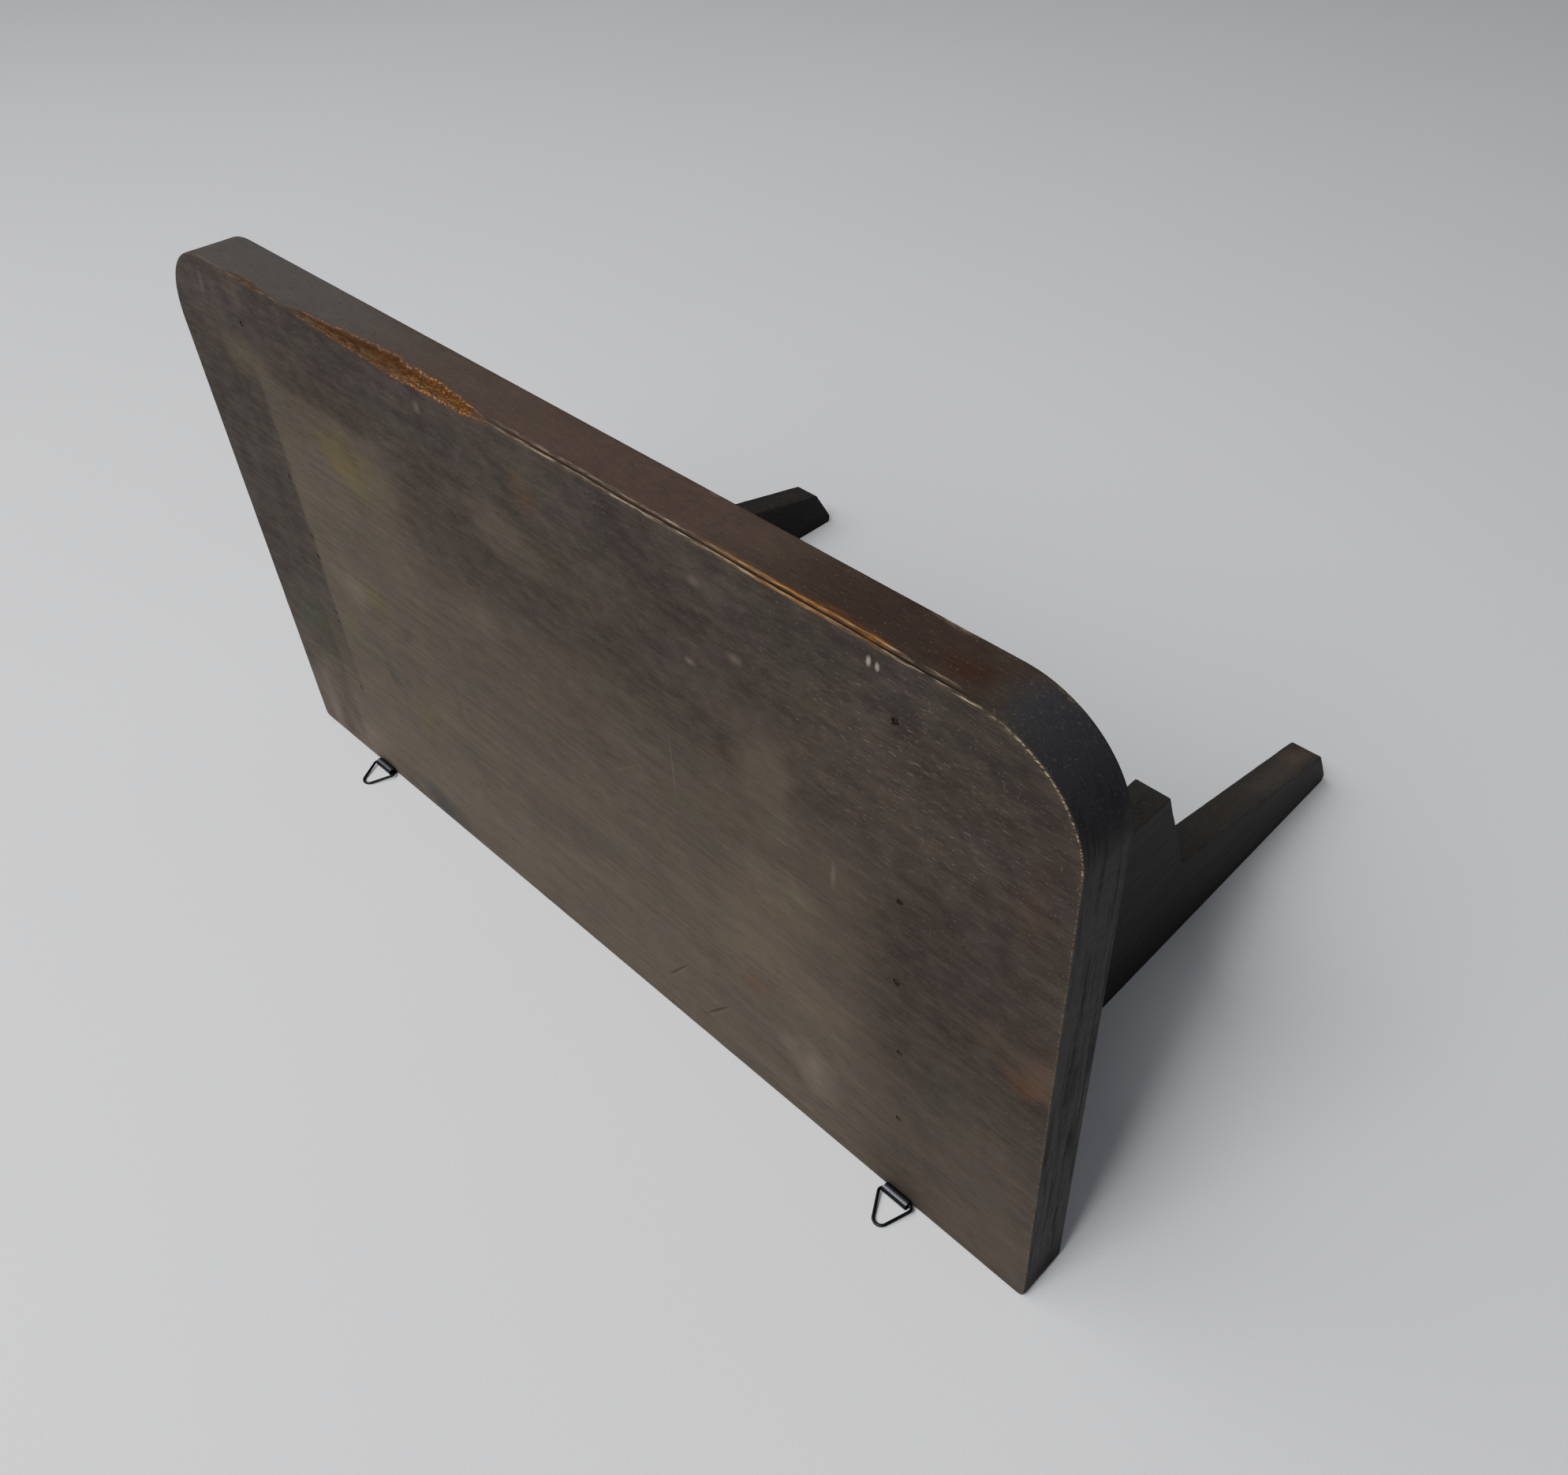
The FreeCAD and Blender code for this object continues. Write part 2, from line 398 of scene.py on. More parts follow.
@dataclass(frozen=True)
class StainedBoard:
    """Softwood plank, planed, stained near black-brown and waxed, then handled for decades.

    The eye gets long dim grain along the board, cloudy places where the stain has worn to olive and
    grey-brown, and raw orange wood along the front arris where the edge has been knocked.

    Attributes:
        corner: the board's low corner in metres.
        base: hex colour under all the coats.
        sheen: specular level.
        gloss_range: roughness of the smooth wood and of the raw wood.
        length: the board's length in millimetres.
        thick: its thickness in millimetres.
    """

    corner: Vector
    base: str = "2b2420"
    sheen: float = 0.06
    gloss_range: tuple[float, float] = (0.70, 0.82)
    length: float = 450.0
    thick: float = 21.0

    def patches(self) -> list[Patch | Field]:
        """Returns the stains and worn places of the face, lowest first."""
        skin = 7.0
        worn, olive, grey, dark, rust = "463f35", "453e23", "4e463f", "221c1b", "442811"
        return [
            # Worn middle of the face, whose top steps down to the right
            Field((40, 158, -20, 216), (5, 30, 1, 10), worn, 0.56),
            Field((40, 394, -20, 192), (5, 30, 1, 40), worn, 0.60),
            Field((40, 378, -20, 150), (8, 46, 1, 80), worn, 0.44),
            Patch((212, 0, 208), (38, skin, 15), worn, 0.60, 0.8),
            Patch((338, 0, 172), (19, skin, 30), worn, 0.60, 0.45),
            Patch((335, 0, 80), (44, skin, 70), "4e4438", 0.50, 0.6),
            # Left end band, kept dark behind a crisp upright border
            Field((-20, 58, 4, 300), (1, 4, 120, 1), "27221f", 0.90),
            Field((-20, 470, 218, 300), (1, 1, 14, 1), "262120", 0.70),
            Field((-20, 470, -20, 130), (1, 1, 1, 130), "6a6054", 0.14),
            # Olive and greenish clouds
            Patch((112, 0, 196), (50, skin, 26), olive, 0.45, 0.9),
            Patch((104, 0, 190), (26, skin, 16), "4e4523", 0.50, 0.9),
            Patch((46, 0, 219), (34, skin, 13), "443c29", 0.60, 0.9),
            Patch((28, 0, 72), (30, skin, 34), "303829", 0.60, 0.9),
            Patch((26, 0, 132), (18, skin, 34), "2f3128", 0.45, 0.9),
            Patch((118, 0, 60), (18, skin, 22), "474122", 0.45, 0.9, 20),
            Patch((100, 0, 122), (16, skin, 12), "474122", 0.50, 0.9, 30),
            Patch((66, 0, 98), (8, skin, 10), "474122", 0.45, 0.9),
            Patch((410, 0, 80), (16, skin, 30), "222924", 0.45, 0.9),
            # Greyer, paler smears
            Patch((26, 0, 14), (60, skin, 56), "665b51", 0.62, 0.9),
            Patch((80, 0, 122), (22, skin, 14), "5a5046", 0.45, 0.9),
            Patch((156, 0, 120), (10, skin, 42), "595045", 0.55, 0.9, 8),
            Patch((180, 0, 160), (28, skin, 14), grey, 0.40, 0.9, 18),
            Patch((345, 0, 44), (20, skin, 26), "665c50", 0.75, 0.8, -6),
            Patch((150, 0, 26), (90, skin, 10), grey, 0.45, 0.9),
            Patch((322, 0, 14), (60, skin, 12), grey, 0.45, 0.9),
            Patch((335, 0, 128), (26, skin, 14), "544a3a", 0.50, 0.9),
            # Dark bands and blots
            Patch((300, 0, 160), (70, skin, 10), dark, 0.35, 0.9),
            Patch((250, 0, 176), (90, skin, 8), dark, 0.35, 0.9),
            Patch((250, 0, 142), (36, skin, 20), dark, 0.32, 0.9),
            Patch((178, 0, 172), (24, skin, 14), dark, 0.35, 0.9),
            Patch((405, 0, 150), (26, skin, 50), dark, 0.12, 0.9),
            Patch((430, 0, 30), (60, skin, 100), "5a5148", 0.20, 0.9),
            Patch((106, 0, 6), (36, skin, 17), "292c2c", 0.80, 0.9),
            Patch((230, 0, 78), (40, skin, 13), "2d2829", 0.35, 0.9),
            Patch((294, 0, 44), (24, skin, 9), dark, 0.45, 0.9),
            Patch((94, 0, 78), (20, skin, 16), "313336", 0.30, 0.9),
            # Reddish and orange rubbing
            Patch((230, 0, 235), (13, skin, 11), rust, 0.50, 0.9),
            Patch((436, 0, 126), (22, skin, 22), "5e4029", 0.60, 0.9),
            Patch((434, 0, 120), (14, skin, 12), rust, 0.50, 0.9),
            Patch((438, 0, 200), (10, skin, 26), "3b261d", 0.40, 0.9),
            Patch((320, 0, 66), (12, skin, 8), "53381e", 0.45, 0.9),
            Patch((334, 0, 51), (12, skin, 9), "533d1f", 0.55, 0.9),
            # Near-black patches at the foot of the face, right over the hangers' loops
            Patch((58, 0, -2), (13, skin, 10), "0e0c0b", 0.90, 0.9, 0, False),
            Patch((393, 0, -2), (12, skin, 10), "0e0c0b", 0.85, 0.9, 0, False),
        ]

    def flecks(self) -> list[Patch]:
        """Returns small scuffs, knots and scratches with crisp borders, and painted shade in three nail
        wells.
        """
        skin = 3.0
        chalk, pale, dark = "7d776d", "554c45", "15110f"
        return [
            Patch((379.6, 0, 246.0), (1.2, skin, 2.6), chalk, 0.85, 0.9, 10, False),
            Patch((382.6, 0, 245.7), (1.1, skin, 2.2), chalk, 0.80, 0.9, 4, False),
            Patch((312, 0, 238), (4.0, skin, 2.6), pale, 0.40, 0.9),
            Patch((327, 0, 217), (4.4, skin, 3.0), pale, 0.50, 0.9),
            Patch((307, 0, 204), (3.4, skin, 2.2), pale, 0.65, 0.9),
            Patch((176, 0, 241), (3.0, skin, 3.4), pale, 0.50, 0.9),
            Patch((31, 0, 240), (2.6, skin, 9.0), pale, 0.35, 0.9, 18),
            Patch((364, 0, 153), (1.6, skin, 9.0), pale, 0.50, 0.9, 5, False),
            Patch((290, 0, 150), (0.7, skin, 22.0), pale, 0.35, 0.9, 1, False),
            Patch((342, 0, 152), (4.0, skin, 0.7), pale, 0.45, 0.9, 0, False),
            Patch((314, 0, 129), (3.0, skin, 0.6), pale, 0.50, 0.9, 0, False),
            # Painted shade in three of the right bracket's nail wells
            Patch((388, 0, 231), (1.4, skin, 2.4), dark, 0.75, 0.9),
            Patch((390, 0, 123), (1.4, skin, 1.8), dark, 0.80, 0.9),
            Patch((390.5, 0, 162), (1.2, skin, 1.2), dark, 0.70, 0.9),
            Patch((414, 0, 162), (1.0, skin, 0.8), dark, 0.70, 0.9),
            Patch((56, 0, 134), (2.4, skin, 4.4), dark, 0.55, 0.9, 25),
            Patch((55, 0, 94), (4.0, skin, 2.0), dark, 0.60, 0.9, -15),
            Patch((275, 0, 30), (0.6, skin, 14.0), dark, 0.60, 0.7, 38, False),
            Patch((297, 0, 24), (0.6, skin, 15.0), dark, 0.60, 0.7, 40, False),
            Patch((299, 0, 24), (0.5, skin, 15.0), pale, 0.45, 0.7, 40, False),
            Patch((277, 0, 31), (0.5, skin, 12.0), pale, 0.35, 0.7, 36, False),
            Patch((262, 0, 132), (0.5, skin, 16.0), pale, 0.25, 0.7, 52, False),
        ]

    def build(self) -> bpy.types.Material:
        """Returns the finished material."""
        coat = Coat("stained_waxed_softwood", self.corner)
        tree, place = coat.tree, coat.place
        wavy, adrift = coat.waver(38.0, 3.0), coat.waver(55.0, 16.0)
        mottle = Pattern((9, 6, 5), 0.40, 0.66, 1.0, 4, 23.0).mask(tree, wavy)
        # Growth rings 2 mm apart, fibres half a millimetre thick and short dark pores
        grain = Pattern((60, 3.2, 2.0), 0.35, 0.75, 1.0, 1, 4.0).mask(tree, place)
        fibre = Pattern((9, 0.55, 0.5), 0.50, 0.72, 1.0, 2, 9.0).mask(tree, place)
        pore = Pattern((4.5, 0.45, 0.45), 0.60, 0.74, 1.0, 1, 15.0).mask(tree, place)
        bare = coat.mark("bare")
        layers = [
            *self.cloudy_layers(coat, wavy, adrift),
            Layer(mottle, "50483e", 0.18),
            *self.edge_layers(coat, wavy),
            Layer(grain, "1a1614", 0.08),
            Layer(fibre, "5c5449", 0.10),
            Layer(pore, "14110f", 0.34),
            *self.scuffed_layers(coat, wavy),
            *self.raw_layers(coat, bare),
        ]
        coat.paint(self.base, layers)
        gloss = add_node(tree, "ShaderNodeMath", {0: grain, 1: bare}, operation="ADD").outputs[0]
        coat.shader.inputs["Specular IOR Level"].default_value = self.sheen
        coat.roughen(gloss, *self.gloss_range)
        coat.bump([(fibre, 0.003), (mottle, 0.03), (pore, -0.03)])
        return coat.material

    def cloudy_layers(self, coat: Coat, wavy: Socket, adrift: Socket) -> list[Layer]:
        """Stains and worn places, then the uneven stain over all of the wood.

        Args:
            coat: the material under construction.
            wavy: the place with a slight waver, for crisp borders.
            adrift: the place with a wide waver, for cloudy borders.

        Returns:
            The coats, lowest first.
        """
        tree = coat.tree
        layers = []
        for patch in self.patches():
            layers.append(Layer(patch.mask(tree, adrift if patch.wander else wavy), patch.tone))
        # Clouds tens of millimetres across, then bands drawn out along the grain
        for pattern, where, tone, amount in (
            (Pattern((52, 40, 30), 0.44, 0.70, 0.6, 4, 2.0), adrift, "534a41", 0.38),
            (Pattern((70, 60, 30), 0.48, 0.74, 0.5, 4, 7.0), adrift, "272021", 0.60),
            (Pattern((40, 40, 26), 0.52, 0.78, 0.5, 4, 12.0), adrift, "303629", 0.70),
            (Pattern((34, 30, 22), 0.50, 0.74, 0.5, 4, 13.0), adrift, "363034", 0.60),
            (Pattern((160, 6, 6), 0.42, 0.66, 1.0, 1.5, 17.0), wavy, "474038", 0.05),
            (Pattern((220, 9, 9), 0.44, 0.64, 1.0, 1.5, 19.0), wavy, "191413", 0.05),
        ):
            layers.append(Layer(pattern.mask(tree, where), tone, amount))
        return layers

    def edge_layers(self, coat: Coat, wavy: Socket) -> list[Layer]:
        """Tones of the narrow edges with their painted reflection and shade, saw marks on the right
        end, and amber stains by the split.

        Args:
            coat: the material under construction.
            wavy: the place with a slight waver.

        Returns:
            The coats, lowest first.
        """
        tree = coat.tree
        edge = coat.mark("edge")
        layers = [Layer(patch.mask(tree, wavy), patch.tone, edge) for patch in self.edge_patches()]
        sawn = Pattern((40.0, 1.7, 34.0), 0.46, 0.66, 0.8, 2, 39.0).mask(tree, wavy)
        on_edge = add_node(tree, "ShaderNodeMath", {0: sawn, 1: edge}, operation="MULTIPLY").outputs[0]
        right_end = Patch((self.length, 11, 120), (16, self.thick, 190), "", 0.9, 0.5)
        layers.append(Layer(right_end.mask(tree, wavy), "151417", on_edge))
        stain = Pattern((9.0, 0.8, 0.8), 0.40, 0.62, 1.0, 3, 29.0).mask(tree, coat.place)
        for patch in self.amber_patches():
            layers.append(Layer(patch.mask(tree, coat.place), patch.tone, stain))
        return layers

    def scuffed_layers(self, coat: Coat, wavy: Socket) -> list[Layer]:
        """Small scuffs and knots, short pale dashes near the right free corner that are painted
        highlights on the grain, and specks.

        Args:
            coat: the material under construction.
            wavy: the place with a slight waver.

        Returns:
            The coats, lowest first.
        """
        tree, place = coat.tree, coat.place
        # Short pale dashes along the grain: painted highlights on the pores
        grain_glint = Pattern((3.4, 0.45, 0.42), 0.66, 0.76, 0.8, 1, 25.0).mask(tree, place)
        speck = Pattern((0.9, 0.9, 0.9), 0.73, 0.78, 0.5, 0, 21.0).mask(tree, place)
        near_corner = Patch((392, 0, 212), (80, 6, 66), "", 0.9, 0.9).mask(tree, place)
        layers = []
        for patch in self.flecks():
            layers.append(Layer(patch.mask(tree, wavy if patch.wander else place), patch.tone))
        return [*layers, Layer(grain_glint, "5f564c", near_corner), Layer(speck, "46423e")]

    def amber_patches(self) -> list[Patch]:
        """Returns the stains of old varnish on the edge, just behind the split arris."""
        return [
            Patch((364, 2.6, 253), (26, 4.0, 6), "5e3716", 0.50, 0.9),
            Patch((381, 2.0, 253), (8, 2.4, 6), "a8661a", 0.55, 0.9),
            Patch((325, 2.0, 253), (16, 2.4, 6), "60431a", 0.40, 0.9),
        ]

    def edge_patches(self) -> list[Patch]:
        """Returns the tones of the narrow edges, which are darker and dirtier than the faces; the top
        edge carries a painted reflection and the round free corner painted shade.
        """
        middle = self.thick / 2 + 1
        narrow = self.thick
        end = self.length
        return [
            # Painted reflection: the top edge is grey at its left end, browner and darker towards the
            # right
            Patch((60, middle, 254), (190, narrow, 14), "43413f", 0.65, 0.6),
            Patch((250, middle, 254), (160, narrow, 14), "41342e", 0.60, 0.6),
            Patch((380, middle, 254), (60, narrow, 12), "2b201b", 0.65, 0.6),
            Patch((404, 9.0, 252), (14, 8, 9), "301a12", 0.50, 0.9),
            Patch((end + 2, middle, 110), (45, narrow, 175), "413f3f", 0.95, 0.35),
            # Painted shade: the round free corner's edge is darker than the flat end beside it
            Patch((end + 4, middle, 254), (44, narrow, 42), "2b2b2e", 0.95, 0.35),
            Patch((-2, middle, 110), (45, narrow, 175), "1f1f1f", 0.90, 0.35),
            Patch((end + 4, middle, -6), (30, narrow, 34), "18161a", 0.80, 0.8),
        ]

    def raw_layers(self, coat: Coat, bare: Socket) -> list[Layer]:
        """Raw wood where the arris is worn, chipped or split.

        Args:
            coat: the material under construction.
            bare: how bare the wood is.

        Returns:
            The coats, lowest first.
        """
        tree, place = coat.tree, coat.place
        crumbs = Pattern((1.1, 0.7, 0.7), 0.48, 0.62, 1.0, 2, 31.0).mask(tree, place)
        shreds = Pattern((6.0, 0.5, 0.5), 0.44, 0.62, 1.0, 2, 33.0).mask(tree, place)
        depth = Pattern((16.0, 2.5, 2.5), 0.38, 0.66, 0.8, 3, 35.0).mask(tree, place)
        grit = Pattern((1.4, 0.8, 0.8), 0.54, 0.70, 0.40, 2, 37.0).mask(tree, place)
        glow = Patch((352, 3.0, 252), (44, 5.0, 8), "", 0.9, 0.9).mask(tree, place)
        fringe, lip = coat.mark("fringe"), coat.mark("lip")
        return [
            Layer(bare, "352110"),
            Layer(bare, "24170c", depth),
            Layer(bare, "553312", grit),
            Layer(fringe, "96591a", crumbs),
            Layer(fringe, "bf9b68", grit),
            Layer(lip, "958568", shreds),
            Layer(lip, "a9701f", glow),
            Layer(coat.mark("crack"), "120f0d"),
        ]


@dataclass(frozen=True)
class StainedBracket:
    """Softwood bracket, band-sawn, stained the same but less handled.

    The eye gets a blacker, duller wood than the board's, with faint grain along the leg, paler
    rubbed places on the leg's upper side and painted shade on the top of the block. The left
    bracket's copy is darker all over, which is painted shade, and less rubbed.

    Attributes:
        corner: the bracket's low corner in metres.
        name: the material's name.
        base: hex colour under all the coats.
        cloudy: tone of the uneven stain.
        mossy: tone of its greener places.
        rub: how strongly the rubbed places show.
        sheen: specular level.
        gloss_range: roughness of the soft and of the hard grain.
    """

    corner: Vector
    name: str = "stained_sawn_softwood_right"
    base: str = "32302e"
    cloudy: str = "2f2d2a"
    mossy: str = "292b27"
    rub: float = 1.0
    sheen: float = 0.15
    gloss_range: tuple[float, float] = (0.70, 0.78)

    @classmethod
    def for_side(cls, side: Side, corner: Vector) -> "StainedBracket":
        """Returns the finish of one side's bracket; the left one is darkened as painted shade."""
        if side is Side.LEFT:
            # Painted shade: the left bracket gets darker tones, and weaker rubbing
            return cls(corner, "stained_sawn_softwood_left_painted_shade", "211f1e", "1e1c1a", "1b1c19", 0.1)
        return cls(corner)

    def patches(self) -> list[Patch]:
        """Returns the rubbed places and the painted shade on the top of the block, lowest first."""
        return [
            Patch((8, 235, 30), (9, 55, 18), "3f3a33", 0.85 * self.rub, 0.8),
            Patch((8, 190, 42), (9, 45, 15), "342f29", 0.70 * self.rub, 0.8),
            Patch((8, 258, 26), (9, 22, 9), "4f433a", 0.65 * self.rub, 0.9),
            # Painted shade on the top of the block, which sits behind the board
            Patch((8, 70, 104), (9, 60, 6), "241f18", 0.80, 0.8),
        ]

    def build(self) -> bpy.types.Material:
        """Returns the finished material."""
        coat = Coat(self.name, self.corner)
        tree, place = coat.tree, coat.place
        wavy = coat.waver(30.0, 6.0)
        clouds = Pattern((30, 60, 26), 0.42, 0.68, 0.5, 3, 3.0).mask(tree, wavy)
        green = Pattern((25, 45, 22), 0.48, 0.70, 0.4, 3, 8.0).mask(tree, wavy)
        grain = Pattern((2.2, 50, 1.8), 0.38, 0.72, 1.0, 3, 5.0).mask(tree, place)
        fibre = Pattern((0.6, 8, 0.6), 0.50, 0.72, 1.0, 2, 10.0).mask(tree, place)
        scuff = Pattern((1.2, 6, 1.2), 0.45, 0.70, 0.5, 2, 27.0).mask(tree, place)
        speck = Pattern((0.9, 0.9, 0.9), 0.70, 0.76, 0.5, 0, 22.0).mask(tree, place)
        layers = [
            Layer(clouds, self.cloudy),
            Layer(green, self.mossy),
            *(Layer(patch.mask(tree, wavy), patch.tone) for patch in self.patches()),
            Layer(grain, "100f0e", 0.10),
            Layer(fibre, "443f37", 0.04),
            Layer(coat.mark("wear_and_highlight"), "564f43", scuff),
            Layer(speck, "45423d"),
        ]
        coat.paint(self.base, layers)
        coat.shader.inputs["Specular IOR Level"].default_value = self.sheen
        coat.roughen(grain, *self.gloss_range)
        coat.bump([(grain, 0.008), (fibre, 0.004)])
        return coat.material


@dataclass(frozen=True)
class BlackenedSteel:
    """Mild steel, blackened by heat and oil, worn back to grey where it rubs.

    The eye gets a near-black metal with a soft sheen and, on the strap, a thin painted highlight along
    the top of its roll.

    Attributes:
        name: the material's name.
        base: hex colour of the blackened skin.
        worn: hex colour where it is rubbed, and of the painted highlight on the strap's roll.
        rust: hex colour of the rust.
        rust_share: how much of that colour the rust reaches.
        smooth: roughness of the oiled skin.
        rough: roughness of the scale.
    """

    name: str
    base: str
    worn: str = "8f9296"
    rust: str = "4a2f20"
    rust_share: float = 0.15
    smooth: float = 0.28
    rough: float = 0.50

    def build(self) -> bpy.types.Material:
        """Returns the finished material."""
        coat = Coat(self.name, Vector((0, 0, 0)))
        tree, place = coat.tree, coat.place
        clouds = Pattern((3, 3, 3), 0.40, 0.70, 0.6, 2, 3.0).mask(tree, place)
        bloom = Pattern((1.6, 1.6, 1.6), 0.55, 0.70, self.rust_share, 2, 8.0).mask(tree, place)
        grit = Pattern((0.35, 0.35, 0.35), 0.45, 0.65, 1.0, 1, 11.0).mask(tree, place)
        layers = [
            Layer(clouds, self.worn, 1.0, "SOFT_LIGHT"),
            # Paler where marked: on the strap, a painted highlight along the top of its roll
            Layer(coat.mark("wear_and_highlight"), self.worn, 0.7),
            Layer(bloom, self.rust),
        ]
        coat.paint(self.base, layers)
        coat.shader.inputs["Metallic"].default_value = 1.0
        coat.roughen(grit, self.smooth, self.rough)
        coat.bump([(grit, 0.012)])
        return coat.material


@dataclass(frozen=True)
class FloorPaint:
    """Matt pale paint on a flat board: an even, slightly cool near-white with no gloss."""

    base: str = "dddee1"

    def build(self) -> bpy.types.Material:
        """Returns the finished material."""
        coat = Coat("matt_pale_floor_paint", Vector((0, 0, 0)))
        tree = coat.tree
        clouds = Pattern((260, 260, 260), 0.35, 0.70, 0.5, 2, 3.0).mask(tree, coat.place)
        stipple = Pattern((1.2, 1.2, 1.2), 0.30, 0.70, 1.0, 2, 6.0).mask(tree, coat.place)
        coat.paint(self.base, [Layer(clouds, "d8d9dd")])
        coat.roughen(stipple, 0.75, 0.9)
        coat.bump([(stipple, 0.05)])
        return coat.material


# --------------------------------------------------------------------------------------------------
# Mesh tools
# --------------------------------------------------------------------------------------------------


def ripple(points: np.ndarray, seed: float) -> np.ndarray:
    """Smooth random levels.

    Args:
        points: rows of three coordinates, one unit to a wave.
        seed: fixed shift, so that two fields differ.

    Returns:
        One level between about -1 and 1 for each row.
    """
    return np.array([noise.noise(point) for point in (points + seed).tolist()])


def ripple_line(along: np.ndarray, seed: float) -> np.ndarray:
    """Returns smooth random levels along a line, one unit to a wave."""
    return ripple(np.stack((along, np.zeros_like(along), np.zeros_like(along)), axis=1), seed)


def bell(distance: np.ndarray, width: float) -> np.ndarray:
    """Returns a smooth bump that is 1 at no distance and fades over the width."""
    return np.exp(-((distance / width) ** 2))


def distance_round(outline: np.ndarray) -> np.ndarray:
    """Returns how far round the outline each of its points is."""
    steps = np.linalg.norm(np.diff(outline, axis=0), axis=1)
    return np.concatenate(([0], np.cumsum(steps)))


@dataclass(frozen=True)
class Corner:
    """One corner of an outline, in millimetres.

    Attributes:
        across: place of the sharp corner along the first axis.
        up: place of the sharp corner along the second axis.
        radius: radius that rounds it.
        run_step: spacing of points on the straight run that leaves it.
        arc_step: spacing of points round it.
    """

    across: float
    up: float
    radius: float = 0.0
    run_step: float = 2.0
    arc_step: float = 0.8


def outline_points(corners: Sequence[Corner]) -> np.ndarray:
    """Points round a closed outline.

    Args:
        corners: the outline's corners, anticlockwise.

    Returns:
        Rows of (across, up), with no point repeated.
    """
    places = [np.array((corner.across, corner.up)) for corner in corners]
    arcs = []
    for index, corner in enumerate(corners):
        here = places[index]
        before = places[index - 1] - here
        after = places[(index + 1) % len(corners)] - here
        before = before / np.linalg.norm(before)
        after = after / np.linalg.norm(after)
        if corner.radius == 0:
            arcs.append([here])
            continue
        half = math.acos(float(np.clip(before @ after, -1, 1))) / 2
        bisector = (before + after) / np.linalg.norm(before + after)
        centre = here + bisector * corner.radius / math.sin(half)
        start = here + before * corner.radius / math.tan(half) - centre
        left_turn = before[1] * after[0] - before[0] * after[1] > 0
        sweep = (math.pi - 2 * half) * (1 if left_turn else -1)
        steps = max(3, math.ceil(abs(sweep) * corner.radius / corner.arc_step))
        arc = []
        for angle in np.linspace(0, sweep, steps + 1):
            cosine, sine = math.cos(angle), math.sin(angle)
            spun = (start[0] * cosine - start[1] * sine, start[0] * sine + start[1] * cosine)
            arc.append(centre + np.array(spun))
        arcs.append(arc)
    points = []
    for index, corner in enumerate(corners):
        points += arcs[index]
        start, end = arcs[index][-1], arcs[(index + 1) % len(corners)][0]
        steps = max(1, round(np.linalg.norm(end - start) / corner.run_step))
        points += [start + (end - start) * step / steps for step in range(1, steps)]
    return np.array(points)


def circle_points(middle: tuple[float, float], radius: float, sides: int = 20) -> np.ndarray:
    """Returns rows of (across, up) round a circle."""
    angles = np.arange(sides) * math.tau / sides
    return np.array(middle) + radius * np.stack((np.cos(angles), np.sin(angles)), axis=1)


def fill_loop(
    loop: np.ndarray, step: float, holes: Sequence[np.ndarray] = ()
) -> tuple[np.ndarray, np.ndarray]:
    """Fills a closed loop with triangles over a grid of inner points.

    Args:
        loop: rows of (across, up) round the loop.
        step: spacing of the grid.
        holes: loops inside it that stay open.

    Returns:
        The inner points, those of the holes first, and triangles whose numbers count the loop's
        points before the inner ones.
    """
    clear = step * 0.55
    loops = [loop, *holes]
    fixed = np.concatenate(loops)
    border = kdtree.KDTree(len(fixed))
    for index, (across, up) in enumerate(fixed):
        border.insert((across, up, 0), index)
    border.balance()
    low, high = loop.min(axis=0), loop.max(axis=0)
    grid = [
        (across, up)
        for across in np.arange(low[0] + step / 2, high[0], step)
        for up in np.arange(low[1] + step / 2, high[1], step)
        if border.find((across, up, 0))[2] > clear
    ]
    rims = []
    start = 0
    for part in loops:
        count = len(part)
        rims += [(start + index, start + (index + 1) % count) for index in range(count)]
        start += count
    points = [Vector(point) for point in fixed.tolist() + grid]
    inside_only, tolerance = 1, 1e-7
    made = geometry.delaunay_2d_cdt(points, rims, [], inside_only, tolerance)
    origins = [ids[0] for ids in made[3]]
    triangles = np.array([[origins[corner] for corner in face] for face in made[2]])
    places = np.array(points, dtype=float)
    middles = places[triangles].mean(axis=1)
    for hole in holes:
        centre = hole.mean(axis=0)
        radius = np.linalg.norm(hole[0] - centre)
        outside = np.linalg.norm(middles - centre, axis=1) > radius
        triangles, middles = triangles[outside], middles[outside]
    used = set(triangles[triangles >= len(loop)].tolist())
    inner = sorted(used | set(range(len(loop), len(fixed))))
    renumber = np.arange(len(places))
    renumber[inner] = len(loop) + np.arange(len(inner))
    return places[inner], renumber[triangles]


@dataclass
class Arris:
    """Worn arris round a slab, one value for each outline point.

    Attributes:
        face: how far the wear reaches over the face.
        edge: how far it reaches down the edge.
        flat: 0 where it is rounded, 1 where it is knocked flat.
    """

    face: np.ndarray
    edge: np.ndarray
    flat: np.ndarray


@dataclass(frozen=True)
class Well:
    """Round well in a slab's front face: its middle as (across, up), its radius and its depth."""

    middle: tuple[float, float]
    radius: float
    depth: float


